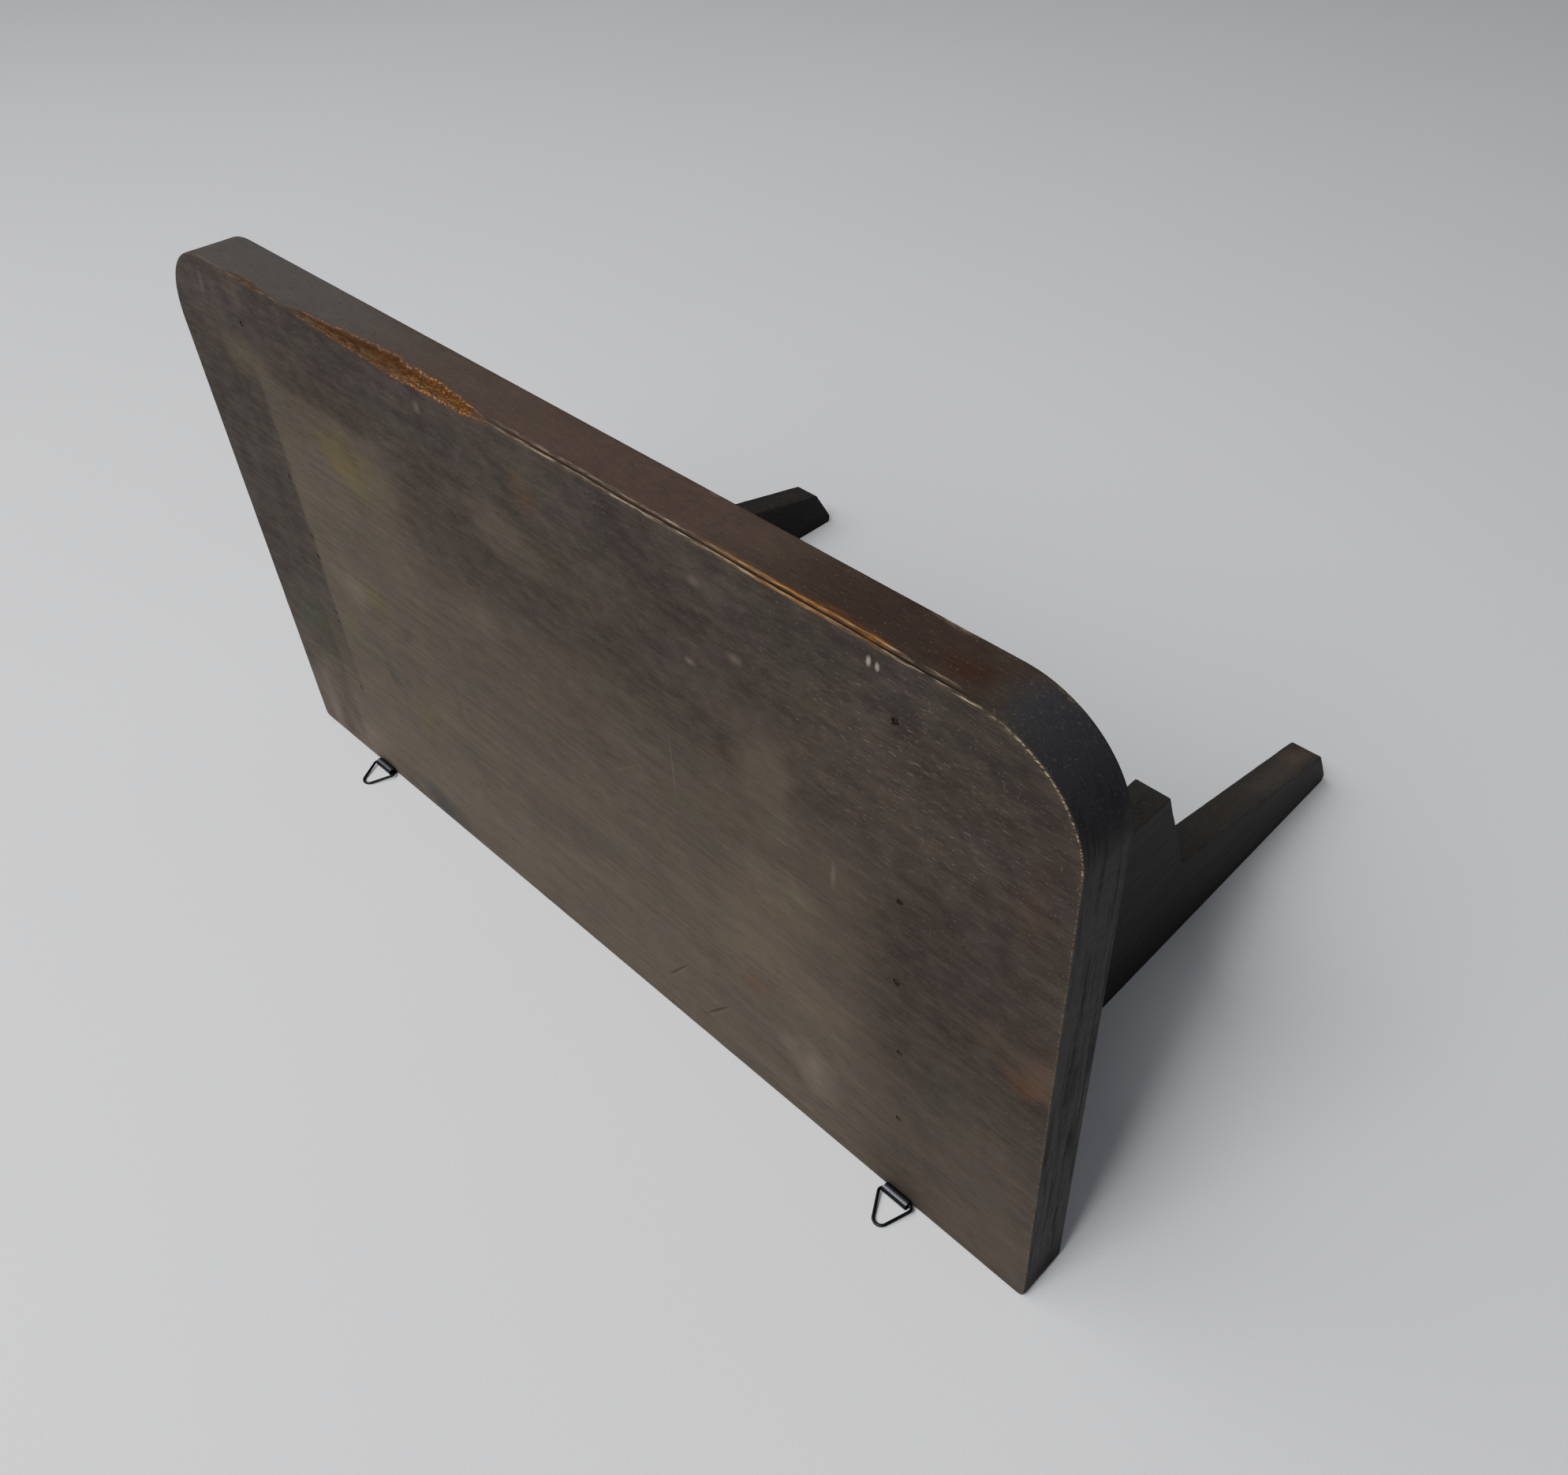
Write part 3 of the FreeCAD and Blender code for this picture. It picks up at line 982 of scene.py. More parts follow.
@dataclass
class Slab:
    """Plank or bracket: an outline with a thickness, whose rim is rows of points from face to back.

    Attributes:
        outline: rows of (across, up), anticlockwise.
        thick: thickness.
        front: the front arris.
        back: the back arris.
        reach: how far in from the outline the rim starts, for each outline point.
        arris_rows: rows of points over each arris.
        edge_rows: rows of points down the edge.
        face_rows: rows of points on each face, outside the arris.
        crowd: above 1 puts the edge's rows nearer to the front.
    """

    outline: np.ndarray
    thick: float
    front: Arris
    back: Arris
    reach: np.ndarray
    arris_rows: int
    edge_rows: int
    face_rows: int
    crowd: float = 1.0
    inset: np.ndarray = field(init=False)
    depth: np.ndarray = field(init=False)
    turn: np.ndarray = field(init=False)

    def __post_init__(self) -> None:
        """Lays out the rim before any wear."""
        columns = [self._face(self.front), self._arc(self.front), self._edge()]
        mirrored = [self._face(self.back), self._arc(self.back)]
        columns += [
            (inset[:, ::-1], self.thick - depth[:, ::-1], math.pi - turn[:, ::-1])
            for inset, depth, turn in reversed(mirrored)
        ]
        self.inset, self.depth, self.turn = (
            np.concatenate([column[part] for column in columns], axis=1) for part in range(3)
        )

    def _face(self, arris: Arris) -> tuple[np.ndarray, np.ndarray, np.ndarray]:
        """Returns the inset, depth and turn of the rows on a face."""
        share = np.linspace(0, 1, self.face_rows, endpoint=False)[None, :]
        inset = self.reach[:, None] * (1 - share) + arris.face[:, None] * share
        return inset, np.zeros_like(inset), np.zeros_like(inset)

    def _arc(self, arris: Arris) -> tuple[np.ndarray, np.ndarray, np.ndarray]:
        """Inset, depth and turn of the rows over an arris.

        Args:
            arris: the arris on the front or on the back.

        Returns:
            Three tables of values, by outline point and row.
        """
        share = np.linspace(0, 1, self.arris_rows + 1)[None, :]
        angle = share * math.pi / 2
        flat = arris.flat[:, None]
        inset = arris.face[:, None] * ((1 - flat) * (1 - np.sin(angle)) + flat * (1 - share))
        depth = arris.edge[:, None] * ((1 - flat) * (1 - np.cos(angle)) + flat * share)
        return inset, depth, angle * np.ones_like(inset)

    def _edge(self) -> tuple[np.ndarray, np.ndarray, np.ndarray]:
        """Returns the inset, depth and turn of the rows down the edge."""
        share = (np.linspace(0, 1, self.edge_rows + 2)[1:-1] ** self.crowd)[None, :]
        start = self.front.edge[:, None]
        depth = start + (self.thick - self.back.edge[:, None] - start) * share
        return np.zeros_like(depth), depth, np.full_like(depth, math.pi / 2)

    def press(self, amount: np.ndarray) -> None:
        """Pushes the rim's points into the wood by an amount of its own for each."""
        self.inset = self.inset + amount * np.sin(self.turn)
        self.depth = self.depth + amount * np.cos(self.turn)

    def waves(
        self, travel: np.ndarray, period: tuple[float, float, float], seed: float
    ) -> np.ndarray:
        """Smooth random levels over the rim.

        Args:
            travel: how far round the outline each of its points is.
            period: millimetres to a wave round the outline, in depth and inwards.
            seed: fixed shift, so that two fields differ.

        Returns:
            A level between about -1 and 1 for each rim point.
        """
        spread = np.repeat(travel[:, None], self.inset.shape[1], axis=1)
        skin = np.stack((spread, self.depth, self.inset), axis=2).reshape(-1, 3)
        return ripple(skin / period, seed).reshape(self.inset.shape)

    def flat_points(self) -> np.ndarray:
        """Returns (across, up) of every rim point, by outline point and row."""
        ahead = np.roll(self.outline, -1, axis=0) - self.outline
        ahead = ahead / np.linalg.norm(ahead, axis=1, keepdims=True)
        after = np.stack((-ahead[:, 1], ahead[:, 0]), axis=1)
        before = np.roll(after, 1, axis=0)
        lean = 1 + (after * before).sum(axis=1, keepdims=True)
        inward = (after + before) / lean
        return self.outline[:, None, :] + self.inset[..., None] * inward[:, None, :]

    def to_piece(
        self, name: str, axes: np.ndarray, corner: Vector, fill_step: float,
        dent: float, marks: dict[str, np.ndarray], wells: Sequence["Well"] = (),
    ) -> bpy.types.Object:
        """Makes the slab's closed mesh.

        Args:
            name: the piece's name.
            axes: rows that turn (across, up, depth) into x, y and z.
            corner: where across, up and depth are 0, in metres.
            fill_step: spacing of points over the two faces.
            dent: depth of the slow hollows in the faces, in millimetres.
            marks: grey levels for each rim point, stored as mesh attributes.
            wells: round wells in the front face.

        Returns:
            The piece, linked to the scene.
        """
        flat = self.flat_points()
        count, rows = self.inset.shape
        vertices = [np.concatenate((flat, self.depth[..., None]), axis=2).reshape(-1, 3)]
        ring = np.arange(count)
        following = (ring + 1) % count
        faces = []
        for row in range(rows - 1):
            quad = (ring * rows + row, following * rows + row)
            faces.append(np.stack((*quad, quad[1] + 1, quad[0] + 1), axis=1))
        polygons = np.concatenate(faces).tolist()
        total = count * rows
        rings = [circle_points(well.middle, well.radius) for well in wells]
        for row, level, inwards in ((0, 0.0, 1.0), (rows - 1, self.thick, -1.0)):
            holes = rings if row == 0 else []
            inner, triangles = fill_loop(flat[:, row], fill_step, holes)
            spread = np.concatenate((inner / 45.0, np.full((len(inner), 1), level)), axis=1)
            near = np.array([self._rim_nearness(point, flat[:, row]) for point in inner])
            hollow = dent * near * (0.5 + 0.5 * ripple(spread, 5.0))
            depth = level + inwards * hollow
            vertices.append(np.concatenate((inner, depth[:, None]), axis=1))
            numbers = np.concatenate((ring * rows + row, total + np.arange(len(inner))))
            polygons += numbers[triangles].tolist()
            start = total
            total += len(inner)
            for hole, well in zip(holes, wells):
                sides = len(hole)
                vertices.append(np.concatenate((hole, np.full((sides, 1), well.depth)), axis=1))
                for here in range(sides):
                    beside = (here + 1) % sides
                    polygons.append([start + here, start + beside, total + beside, total + here])
                polygons.append(list(range(total, total + sides)))
                start += sides
                total += sides
        points = np.concatenate(vertices) @ axes * MM + np.array(corner)
        piece = mesh_piece(name, points, polygons)
        for mark, levels in marks.items():
            padded = np.zeros(total, np.float32)
            padded[: count * rows] = levels.ravel()
            write_mark(piece, mark, padded)
        return piece

    @staticmethod
    def _rim_nearness(point: np.ndarray, loop: np.ndarray) -> float:
        """Returns 0 at the loop, rising to 1 at 12 mm from it."""
        gap = np.sqrt(((loop - point) ** 2).sum(axis=1).min())
        return float(min(1.0, gap / 12.0))


def mesh_piece(name: str, points: np.ndarray, polygons: Sequence[Sequence[int]]) -> bpy.types.Object:
    """Makes a smooth-shaded object whose faces point outwards.

    Args:
        name: the piece's name.
        points: rows of x, y and z in metres.
        polygons: rows of vertex numbers.

    Returns:
        The object, at the origin, linked to the scene.
    """
    mesh = bpy.data.meshes.new(name)
    mesh.from_pydata(points.tolist(), [], polygons)
    shell = bmesh.new()
    shell.from_mesh(mesh)
    bmesh.ops.recalc_face_normals(shell, faces=shell.faces)
    shell.to_mesh(mesh)
    shell.free()
    mesh.shade_smooth()
    mesh.set_sharp_from_angle(angle=math.radians(SHARP_EDGE_DEG))
    piece = bpy.data.objects.new(name, mesh)
    bpy.context.scene.collection.objects.link(piece)
    return piece


def write_mark(piece: bpy.types.Object, mark: str, levels: Sequence[float]) -> None:
    """Stores a grey level for each of the piece's points, which a finish reads by its name."""
    attribute = piece.data.attributes.new(mark, "FLOAT", "POINT")
    attribute.data.foreach_set("value", levels)


def wall_faces(rings: int, sides: int) -> list[tuple[int, ...]]:
    """Joins rings of points, one after another, by a wall.

    Args:
        rings: how many rings there are.
        sides: points in each.

    Returns:
        The wall's faces, as vertex numbers that count ring by ring.
    """
    faces = []
    for ring in range(rings - 1):
        for step in range(sides):
            here, beside = ring * sides + step, ring * sides + (step + 1) % sides
            faces.append((here, beside, beside + sides, here + sides))
    return faces


def lathe(
    name: str, profile: Sequence[tuple[float, float]], axis: Vector, sides: int = 24
) -> bpy.types.Object:
    """Turns a profile about an axis through the origin.

    Args:
        name: the piece's name.
        profile: (radius, distance along the axis) in millimetres, from end to end.
        axis: unit vector along which the distances run.
        sides: points round the axis.

    Returns:
        A closed piece.
    """
    turn = Vector((0, 0, 1)).rotation_difference(axis).to_matrix()
    points = []
    for radius, along in profile:
        for step in range(sides):
            angle = math.tau * step / sides
            points.append(turn @ Vector((radius * math.cos(angle), radius * math.sin(angle), along)))
    polygons = wall_faces(len(profile), sides)
    first, last = len(points), len(points) + 1
    points += [turn @ Vector((0, 0, profile[0][1])), turn @ Vector((0, 0, profile[-1][1]))]
    base = (len(profile) - 1) * sides
    for step in range(sides):
        beside = (step + 1) % sides
        polygons += [(first, beside, step), (last, base + step, base + beside)]
    return mesh_piece(name, np.array(points) * MM, polygons)


def keep_result(piece: bpy.types.Object) -> None:
    """Makes what the piece's modifiers give its plain mesh, and removes them.

    Args:
        piece: the piece to finish.
    """
    bpy.context.view_layer.update()
    graph = bpy.context.evaluated_depsgraph_get()
    mesh = bpy.data.meshes.new_from_object(piece.evaluated_get(graph))
    piece.modifiers.clear()
    piece.data = mesh


def carve(piece: bpy.types.Object, cutters: Sequence[bpy.types.Object]) -> None:
    """Cuts closed shapes out of a piece and removes them.

    Args:
        piece: the piece to cut.
        cutters: shapes that don't touch each other.
    """
    group = bpy.data.collections.new("cutters")
    for cutter in cutters:
        group.objects.link(cutter)
    modifier = piece.modifiers.new("carve", "BOOLEAN")
    modifier.operation = "DIFFERENCE"
    modifier.solver = "EXACT"
    modifier.operand_type = "COLLECTION"
    modifier.collection = group
    keep_result(piece)
    for cutter in cutters:
        bpy.data.objects.remove(cutter)
    bpy.data.collections.remove(group)


def put_in_place(
    piece: bpy.types.Object, body: Body, node: str, material: bpy.types.Material
) -> None:
    """Dresses a piece and makes it stand for its node.

    Args:
        piece: the finished piece.
        body: the body that it rides on.
        node: the node that it replaces.
        material: its finish.
    """
    piece.data.materials.clear()
    piece.data.materials.append(material)
    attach(piece, body.value)
    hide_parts(node)
    LOG.info("%s: %d faces, for %s", piece.name, len(piece.data.polygons), node)


class NodeForm:
    """Geometry Nodes tree with named sizes, turned into a plain mesh."""

    def __init__(self, name: str) -> None:
        """Starts an empty tree with its geometry sockets.

        Args:
            name: the tree's name.
        """
        self.tree = bpy.data.node_groups.new(name, "GeometryNodeTree")
        self.tree.interface.new_socket("Geometry", in_out="INPUT", socket_type="NodeSocketGeometry")
        self.tree.interface.new_socket("Geometry", in_out="OUTPUT", socket_type="NodeSocketGeometry")
        self.values: dict[str, object] = {}
        self.source = add_node(self.tree, "NodeGroupInput")

    def size(self, name: str, value: object, kind: str = "Float") -> Socket:
        """Adds a named input.

        Args:
            name: the input's name.
            value: what the modifier sets it to.
            kind: Float, Int, Object or Material.

        Returns:
            The input's socket inside the tree.
        """
        item = self.tree.interface.new_socket(
            name, in_out="INPUT", socket_type="NodeSocket" + kind
        )
        self.values[item.identifier] = value
        return self.source.outputs[name]

    def make(
        self, piece: bpy.types.Object, shape: Socket, material: bpy.types.Material
    ) -> bpy.types.Object:
        """Ends the tree, runs it on a piece and keeps the result as the piece's mesh.

        Args:
            piece: the piece whose mesh the tree starts from.
            shape: geometry socket of the finished shape.
            material: finish that the tree sets.

        Returns:
            The same piece, with a plain mesh and no modifier.
        """
        finish = self.size("Finish", material, "Material")
        solid = add_node(self.tree, "GeometryNodeRealizeInstances", {0: shape})
        dressed = add_node(
            self.tree, "GeometryNodeSetMaterial", {0: solid.outputs[0], 2: finish}
        )
        add_node(self.tree, "NodeGroupOutput", {0: dressed.outputs[0]})
        modifier = piece.modifiers.new("form", "NODES")
        modifier.node_group = self.tree
        for identifier, value in self.values.items():
            modifier[identifier] = value
        keep_result(piece)
        piece.data.shade_smooth()
        piece.data.set_sharp_from_angle(angle=math.radians(SHARP_EDGE_DEG))
        return piece


# --------------------------------------------------------------------------------------------------
# Sub-assemblies
# --------------------------------------------------------------------------------------------------


def board_face() -> float:
    """Returns the y of the board's front face, in metres."""
    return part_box("shelf_board")[0].y


def middle_of(node: str) -> float:
    """Returns the x of the middle of a node's box, in metres."""
    low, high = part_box(node)
    return (low.x + high.x) / 2


@dataclass(frozen=True)
class WearStation:
    """How the front arris is worn at one place along the free edge.

    Attributes:
        along: millimetres from the board's left end.
        face: width of the wear on the face.
        edge: width of the wear on the edge.
        bare: how bare the wood is, from 0 to 1.
        crumble: how torn and bright its borders are, from 0 to 1.
    """

    along: float
    face: float
    edge: float
    bare: float
    crumble: float


@dataclass
class ShelfBoard:
    """The plank: two round free corners, a knocked and split front arris, nail wells, strap beds.

    Sizes are in millimetres. The split runs along the free edge, split_middle behind the face, with
    pale lips lip_gap to either side. The wear pushes torn fibres, crumbs and slow waves in by up to
    their depths. Each chip on the back arris is its place along the board, its length and its depth.
    """

    free_corner_r: float = 37.0
    wall_corner_r: float = 3.0
    arris: float = 0.9
    well_r: float = 1.2
    well_depth: float = 1.1
    bed_depth: float = 0.9
    bed_wall: float = 0.03
    nail_rows: tuple["NailRow", ...] = ()
    hangers: tuple["StrapHanger", ...] = ()
    split_from: float = 216.0
    split_to: float = 412.0
    split_depth: float = 0.9
    split_middle: float = 1.35
    lip_gap: float = 0.95
    fibre_depth: float = 0.28
    crumb_depth: float = 0.30
    wave_depth: float = 0.10
    chip_places: tuple[tuple[float, float, float], ...] = (
        (391.0, 6.0, 0.6), (427.0, 3.0, 0.4), (300.0, 2.5, 0.3),
    )
    wear: tuple[WearStation, ...] = (
        WearStation(0, 0.9, 0.9, 0.00, 0.0),
        WearStation(50, 0.9, 1.0, 0.00, 0.1),
        WearStation(58, 1.1, 1.6, 0.30, 0.1),
        WearStation(72, 1.5, 2.4, 0.60, 0.3),
        WearStation(84, 1.1, 1.5, 0.20, 0.1),
        WearStation(98, 0.8, 0.9, 0.00, 0.1),
        WearStation(107, 1.2, 1.6, 0.70, 0.5),
        WearStation(120, 1.7, 2.8, 0.95, 0.45),
        WearStation(133, 2.3, 4.2, 1.00, 0.4),
        WearStation(150, 3.0, 5.4, 1.00, 0.35),
        WearStation(163, 3.6, 5.9, 1.00, 0.5),
        WearStation(176, 2.9, 5.0, 1.00, 0.9),
        WearStation(193, 2.6, 4.4, 1.00, 1.0),
        WearStation(206, 1.9, 3.0, 1.00, 1.0),
        WearStation(214, 1.0, 1.4, 0.50, 0.6),
        WearStation(220, 0.8, 0.9, 0.10, 0.1),
        WearStation(450, 0.8, 0.8, 0.00, 0.0),
    )
    low: Vector = field(default_factory=lambda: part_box("shelf_board")[0])
    high: Vector = field(default_factory=lambda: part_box("shelf_board")[1])

    def outline(self) -> np.ndarray:
        """Returns the board's outline, most finely divided along the worn free edge."""
        length, depth = (self.high.x - self.low.x) / MM, (self.high.z - self.low.z) / MM
        points = outline_points(
            [
                Corner(0, 0, self.wall_corner_r, 2.2, 0.5),
                Corner(length, 0, self.wall_corner_r, 1.6, 0.5),
                Corner(length, depth, self.free_corner_r, 0.8, 0.8),
                Corner(0, depth, self.free_corner_r, 1.6, 1.2),
            ]
        )
        wall_side = np.flatnonzero(points[:, 1] < 0.01)
        for border in np.ravel(self.beds()):
            before = wall_side[points[wall_side, 0] < border].max()
            points[before, 0] = border - self.bed_wall
            points[before + 1, 0] = border + self.bed_wall
        return points

    def build(self) -> None:
        """Makes the board, carves its wells and beds, and puts it in place."""
        outline = self.outline()
        across, up = outline[:, 0], outline[:, 1]
        free = np.clip((up - (self.high.z - self.low.z) / MM + self.free_corner_r) / 4.0, 0, 1)
        stations = [station.along for station in self.wear]
        face, edge, bare, crumble = (
            np.interp(across, stations, [getattr(station, name) for station in self.wear])
            for name in ("face", "edge", "bare", "crumble")
        )
        travel = distance_round(outline)
        uneven = 1 + 0.30 * ripple_line(travel / 9.0, 1.0) + 0.18 * ripple_line(travel / 3.1, 2.0)
        bare, crumble = bare * free, crumble * free
        plain = self.arris * np.ones(len(outline))
        front = Arris(
            (face * free + plain * (1 - free)) * uneven,
            (edge * free + plain * (1 - free)) * (2 - uneven),
            np.clip(bare, 0, 0.75),
        )
        back = Arris(plain * (2 - uneven), plain * uneven, np.zeros_like(plain))
        # The rim starts 7 mm in, clear of the widest wear, but close to the edge near the ground
        reach = np.interp(up, (8.0, 30.0), (2.4, 7.0))
        slab = Slab(
            outline, (self.high.y - self.low.y) / MM, front, back, reach,
            arris_rows=14, edge_rows=24, face_rows=5, crowd=1.5,
        )
        marks = self.knock(slab, across, travel, free, bare, crumble)
        in_bed = np.zeros(len(outline), bool)
        for left, right in self.beds():
            in_bed |= (up < 0.01) & (across > left) & (across < right)
        sunk = np.maximum(slab.inset, self.bed_depth)
        slab.inset = np.where(in_bed[:, None], sunk, slab.inset)
        axes = np.array(((1, 0, 0), (0, 0, 1), (0, 1, 0)), float)
        piece = slab.to_piece(
            "worn_shelf_board", axes, self.low,
            fill_step=3.0, dent=0.18, marks=marks, wells=self.wells(),
        )
        material = StainedBoard(self.low).build()
        put_in_place(piece, Body.SHELF, "shelf_board", material)

    def knock(
        self, slab: Slab, across: np.ndarray, travel: np.ndarray, free: np.ndarray,
        bare: np.ndarray, crumble: np.ndarray,
    ) -> dict[str, np.ndarray]:
        """Wears the rim: torn fibres, a split along the arris and small chips behind.

        Args:
            slab: the board's slab, whose points are pushed inwards.
            across: each outline point's place along the board.
            travel: its distance round the outline.
            free: 1 on the free edge, 0 on the others.
            bare: how bare the arris is there.
            crumble: how torn its borders are.

        Returns:
            Grey levels for the edge, bare wood, bright fringes, pale lips and the dark crack.
        """
        first = slab.face_rows
        last = first + slab.arris_rows
        row = np.arange(slab.inset.shape[1])[None, :]
        share = (row - first) / slab.arris_rows
        inside = np.clip(1.6 - np.abs(share - 0.5) * 2.6, 0, 1)
        fibres = slab.waves(travel, (15.0, 0.9, 0.9), 11.0)
        crumbs = slab.waves(travel, (1.7, 0.8, 0.8), 12.0)
        slow = slab.waves(travel, (60.0, 12.0, 12.0), 13.0)
        torn = bare[:, None] * inside
        torn_out = self.fibre_depth * (0.5 + 0.5 * fibres)
        crumbled = self.crumb_depth * crumble[:, None] * (0.5 + 0.5 * crumbs)
        push = torn * (torn_out + crumbled)
        # The split opens over 25 mm and closes over 12 mm
        opening = np.clip((across - self.split_from) / 25.0, 0, 1)
        closing = np.clip((self.split_to - across) / 12.0, 0, 1)
        split = free * opening * closing * (0.75 + 0.4 * ripple_line(across / 21.0, 3.0))
        split = np.clip(split, 0, 1)[:, None]
        middle = self.split_middle + 0.35 * ripple_line(across / 30.0, 4.0)[:, None]
        behind = slab.depth - middle
        on_edge = (row > first).astype(float)
        groove = split * bell(behind, 0.42) * on_edge
        push = push + self.split_depth * groove
        # Slow waves round the whole edge, and chips out of its back arris
        on_rim = bell(slab.turn - math.pi / 2, 0.6)
        push = push + self.wave_depth * (0.5 + 0.5 * slow) * on_rim
        chips = np.zeros_like(push)
        to_back = slab.thick - slab.depth
        for place, length, deep in self.chip_places:
            near = free * bell(across - place, length)
            chips = chips + near[:, None] * bell(to_back, 1.3) * deep * on_rim
        push = push + chips * (0.6 + 0.4 * crumbs)
        slab.press(push)
        # Bright torn fibres on the borders of the wear, and pale lips along the split
        border = bell(share - 0.02, 0.05) + bell(share - 0.98, 0.07)
        on_arris = ((row >= first - 2) & (row <= last + 3)).astype(float)
        torn_inside = 0.20 * inside * crumble[:, None] ** 2
        fringe = crumble[:, None] * bare[:, None] * (border + torn_inside) * on_arris
        front_lip = 0.7 * bell(behind + self.lip_gap, 0.26) * split
        back_lip = bell(behind - self.lip_gap, 0.24) * split
        wear_and_highlight = self.rubbed_arris(slab, across, free)
        lips = on_edge * (front_lip + back_lip) + wear_and_highlight + np.clip(chips * 1.5, 0, 1)
        return {
            "edge": np.sin(slab.turn) ** 2,
            "bare": np.clip(torn, 0, 1),
            "fringe": np.clip(fringe, 0, 1),
            "lip": np.clip(lips, 0, 1),
            "crack": np.clip(groove * 1.3, 0, 1),
        }

    def rubbed_arris(self, slab: Slab, across: np.ndarray, free: np.ndarray) -> np.ndarray:
        """Thin pale rubbing on the arris, strongest round the right free corner.

        Args:
            slab: the board's slab.
            across: each outline point's place along the board.
            free: 1 on the free edge, 0 on the others.

        Returns:
            A grey level for each rim point.
        """
        rows = slab.inset.shape[1]
        share = (np.arange(rows)[None, :] - slab.face_rows) / slab.arris_rows
        right = np.clip((across - 395.0) / 20.0, 0, 1)
        strength = 0.75 * free * right + 0.22 * (1 - free) + 0.12 * free
        return strength[:, None] * bell(share - 0.30, 0.20)

    def wells(self) -> list[Well]:
        """Returns the wells over the nails' heads, in the slab's millimetres."""
        return [
            Well(((x - self.low.x) / MM, z / MM), self.well_r, self.well_depth)
            for nail_row in self.nail_rows
            for x, z in nail_row.places()
        ]

    def beds(self) -> list[tuple[float, float]]:
        """Returns the left and right borders of the straps' beds, in the slab's millimetres."""
        borders = []
        for hanger in self.hangers:
            middle = (hanger.middle() - self.low.x) / MM
            borders.append((middle - hanger.width / 2, middle + hanger.width / 2))
        return borders


@dataclass
class Bracket:
    """Sawn bracket: a leg on the wall side, a notch, a block and an arm along the board.

    Sizes are in millimetres, out from the board and up. The arris is kept to the share
    bearing_arris of its width where the bracket meets the board or the wall, and the free edges are
    uneven by up to wave_depth and saw_depth.
    """

    side: Side
    hanger: "StrapHanger"
    leg_reach: float = 281.0
    leg_tip_slant: float = 12.6
    leg_tip_up: float = 22.5
    leg_tip_r: float = 3.0
    small_r: float = 1.5
    notch: tuple[float, float] = (142.6, 51.7)
    block: tuple[float, float] = (121.7, 104.2)
    arm_root_out: float = 47.0
    arm_root_r: float = 9.0
    arm_tip: tuple[float, float] = (16.0, 231.0)
    arris: float = 0.8
    bearing_arris: float = 0.35
    wave_depth: float = 0.22
    saw_depth: float = 0.07
    left_seed: float = 20.0
    right_seed: float = 40.0

    def outline(self, height: float) -> np.ndarray:
        """Returns the profile as (out from the board, up) points."""
        return outline_points(
            [
                Corner(0, 0, 0, 2.5),
                Corner(self.leg_reach, 0, self.leg_tip_r, 1.6, 0.5),
                Corner(self.leg_reach - self.leg_tip_slant, self.leg_tip_up, self.small_r, 1.6, 0.4),
                Corner(*self.notch, 0, 1.6),
                Corner(*self.block, self.small_r, 1.6, 0.4),
                Corner(self.arm_root_out, self.block[1], self.arm_root_r, 2.5, 1.0),
                Corner(*self.arm_tip, self.small_r, 1.5, 0.4),
                Corner(0, height, self.small_r, 2.5, 0.4),
            ]
        )

    def build(self) -> None:
        """Makes the bracket and puts it in place."""
        node = "bracket_" + self.side.value
        low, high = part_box(node)
        size = (high - low) / MM
        outline = self.outline(size.z)
        out, up = outline[:, 0], outline[:, 1]
        travel = distance_round(outline)
        seed = self.left_seed if self.side is Side.LEFT else self.right_seed
        uneven = 1 + 0.4 * ripple_line(travel / 11.0, seed) + 0.2 * ripple_line(travel / 3.0, seed)
        bearing = np.where((out < 0.5) | (up < 0.5), self.bearing_arris, 1.0)
        width = np.clip(self.arris * uneven * bearing, 0.2, self.small_r - 0.3)
        arris = Arris(width, width, np.full_like(width, 0.2))
        reach = np.full_like(width, self.small_r - 0.1)
        slab = Slab(outline, size.x, arris, arris, reach, arris_rows=6, edge_rows=10, face_rows=2)
        waves = slab.waves(travel, (28.0, 30.0, 30.0), seed)
        saw = slab.waves(travel, (1.9, 14.0, 14.0), seed + 3)
        on_rim = bell(slab.turn - math.pi / 2, 0.5)
        free = np.where(bearing < 1, 0.0, 1.0)[:, None]
        uneven_by = self.wave_depth * (0.5 + 0.5 * waves) + self.saw_depth * (0.5 + 0.5 * saw)
        slab.press(on_rim * free * uneven_by)
        share = bell(slab.turn - 0.8, 0.5) + bell(slab.turn - math.pi + 0.8, 0.5)
        marks = {"wear_and_highlight": np.clip(share * free, 0, 1)}
        axes = np.array(((0, 1, 0), (0, 0, 1), (1, 0, 0)), float)
        piece = slab.to_piece("sawn_" + node, axes, low, fill_step=4.0, dent=0.12, marks=marks)
        carve(piece, [self.hanger.bed_cutter()])
        material = StainedBracket.for_side(self.side, low).build()
        put_in_place(piece, Body.SHELF, node, material)


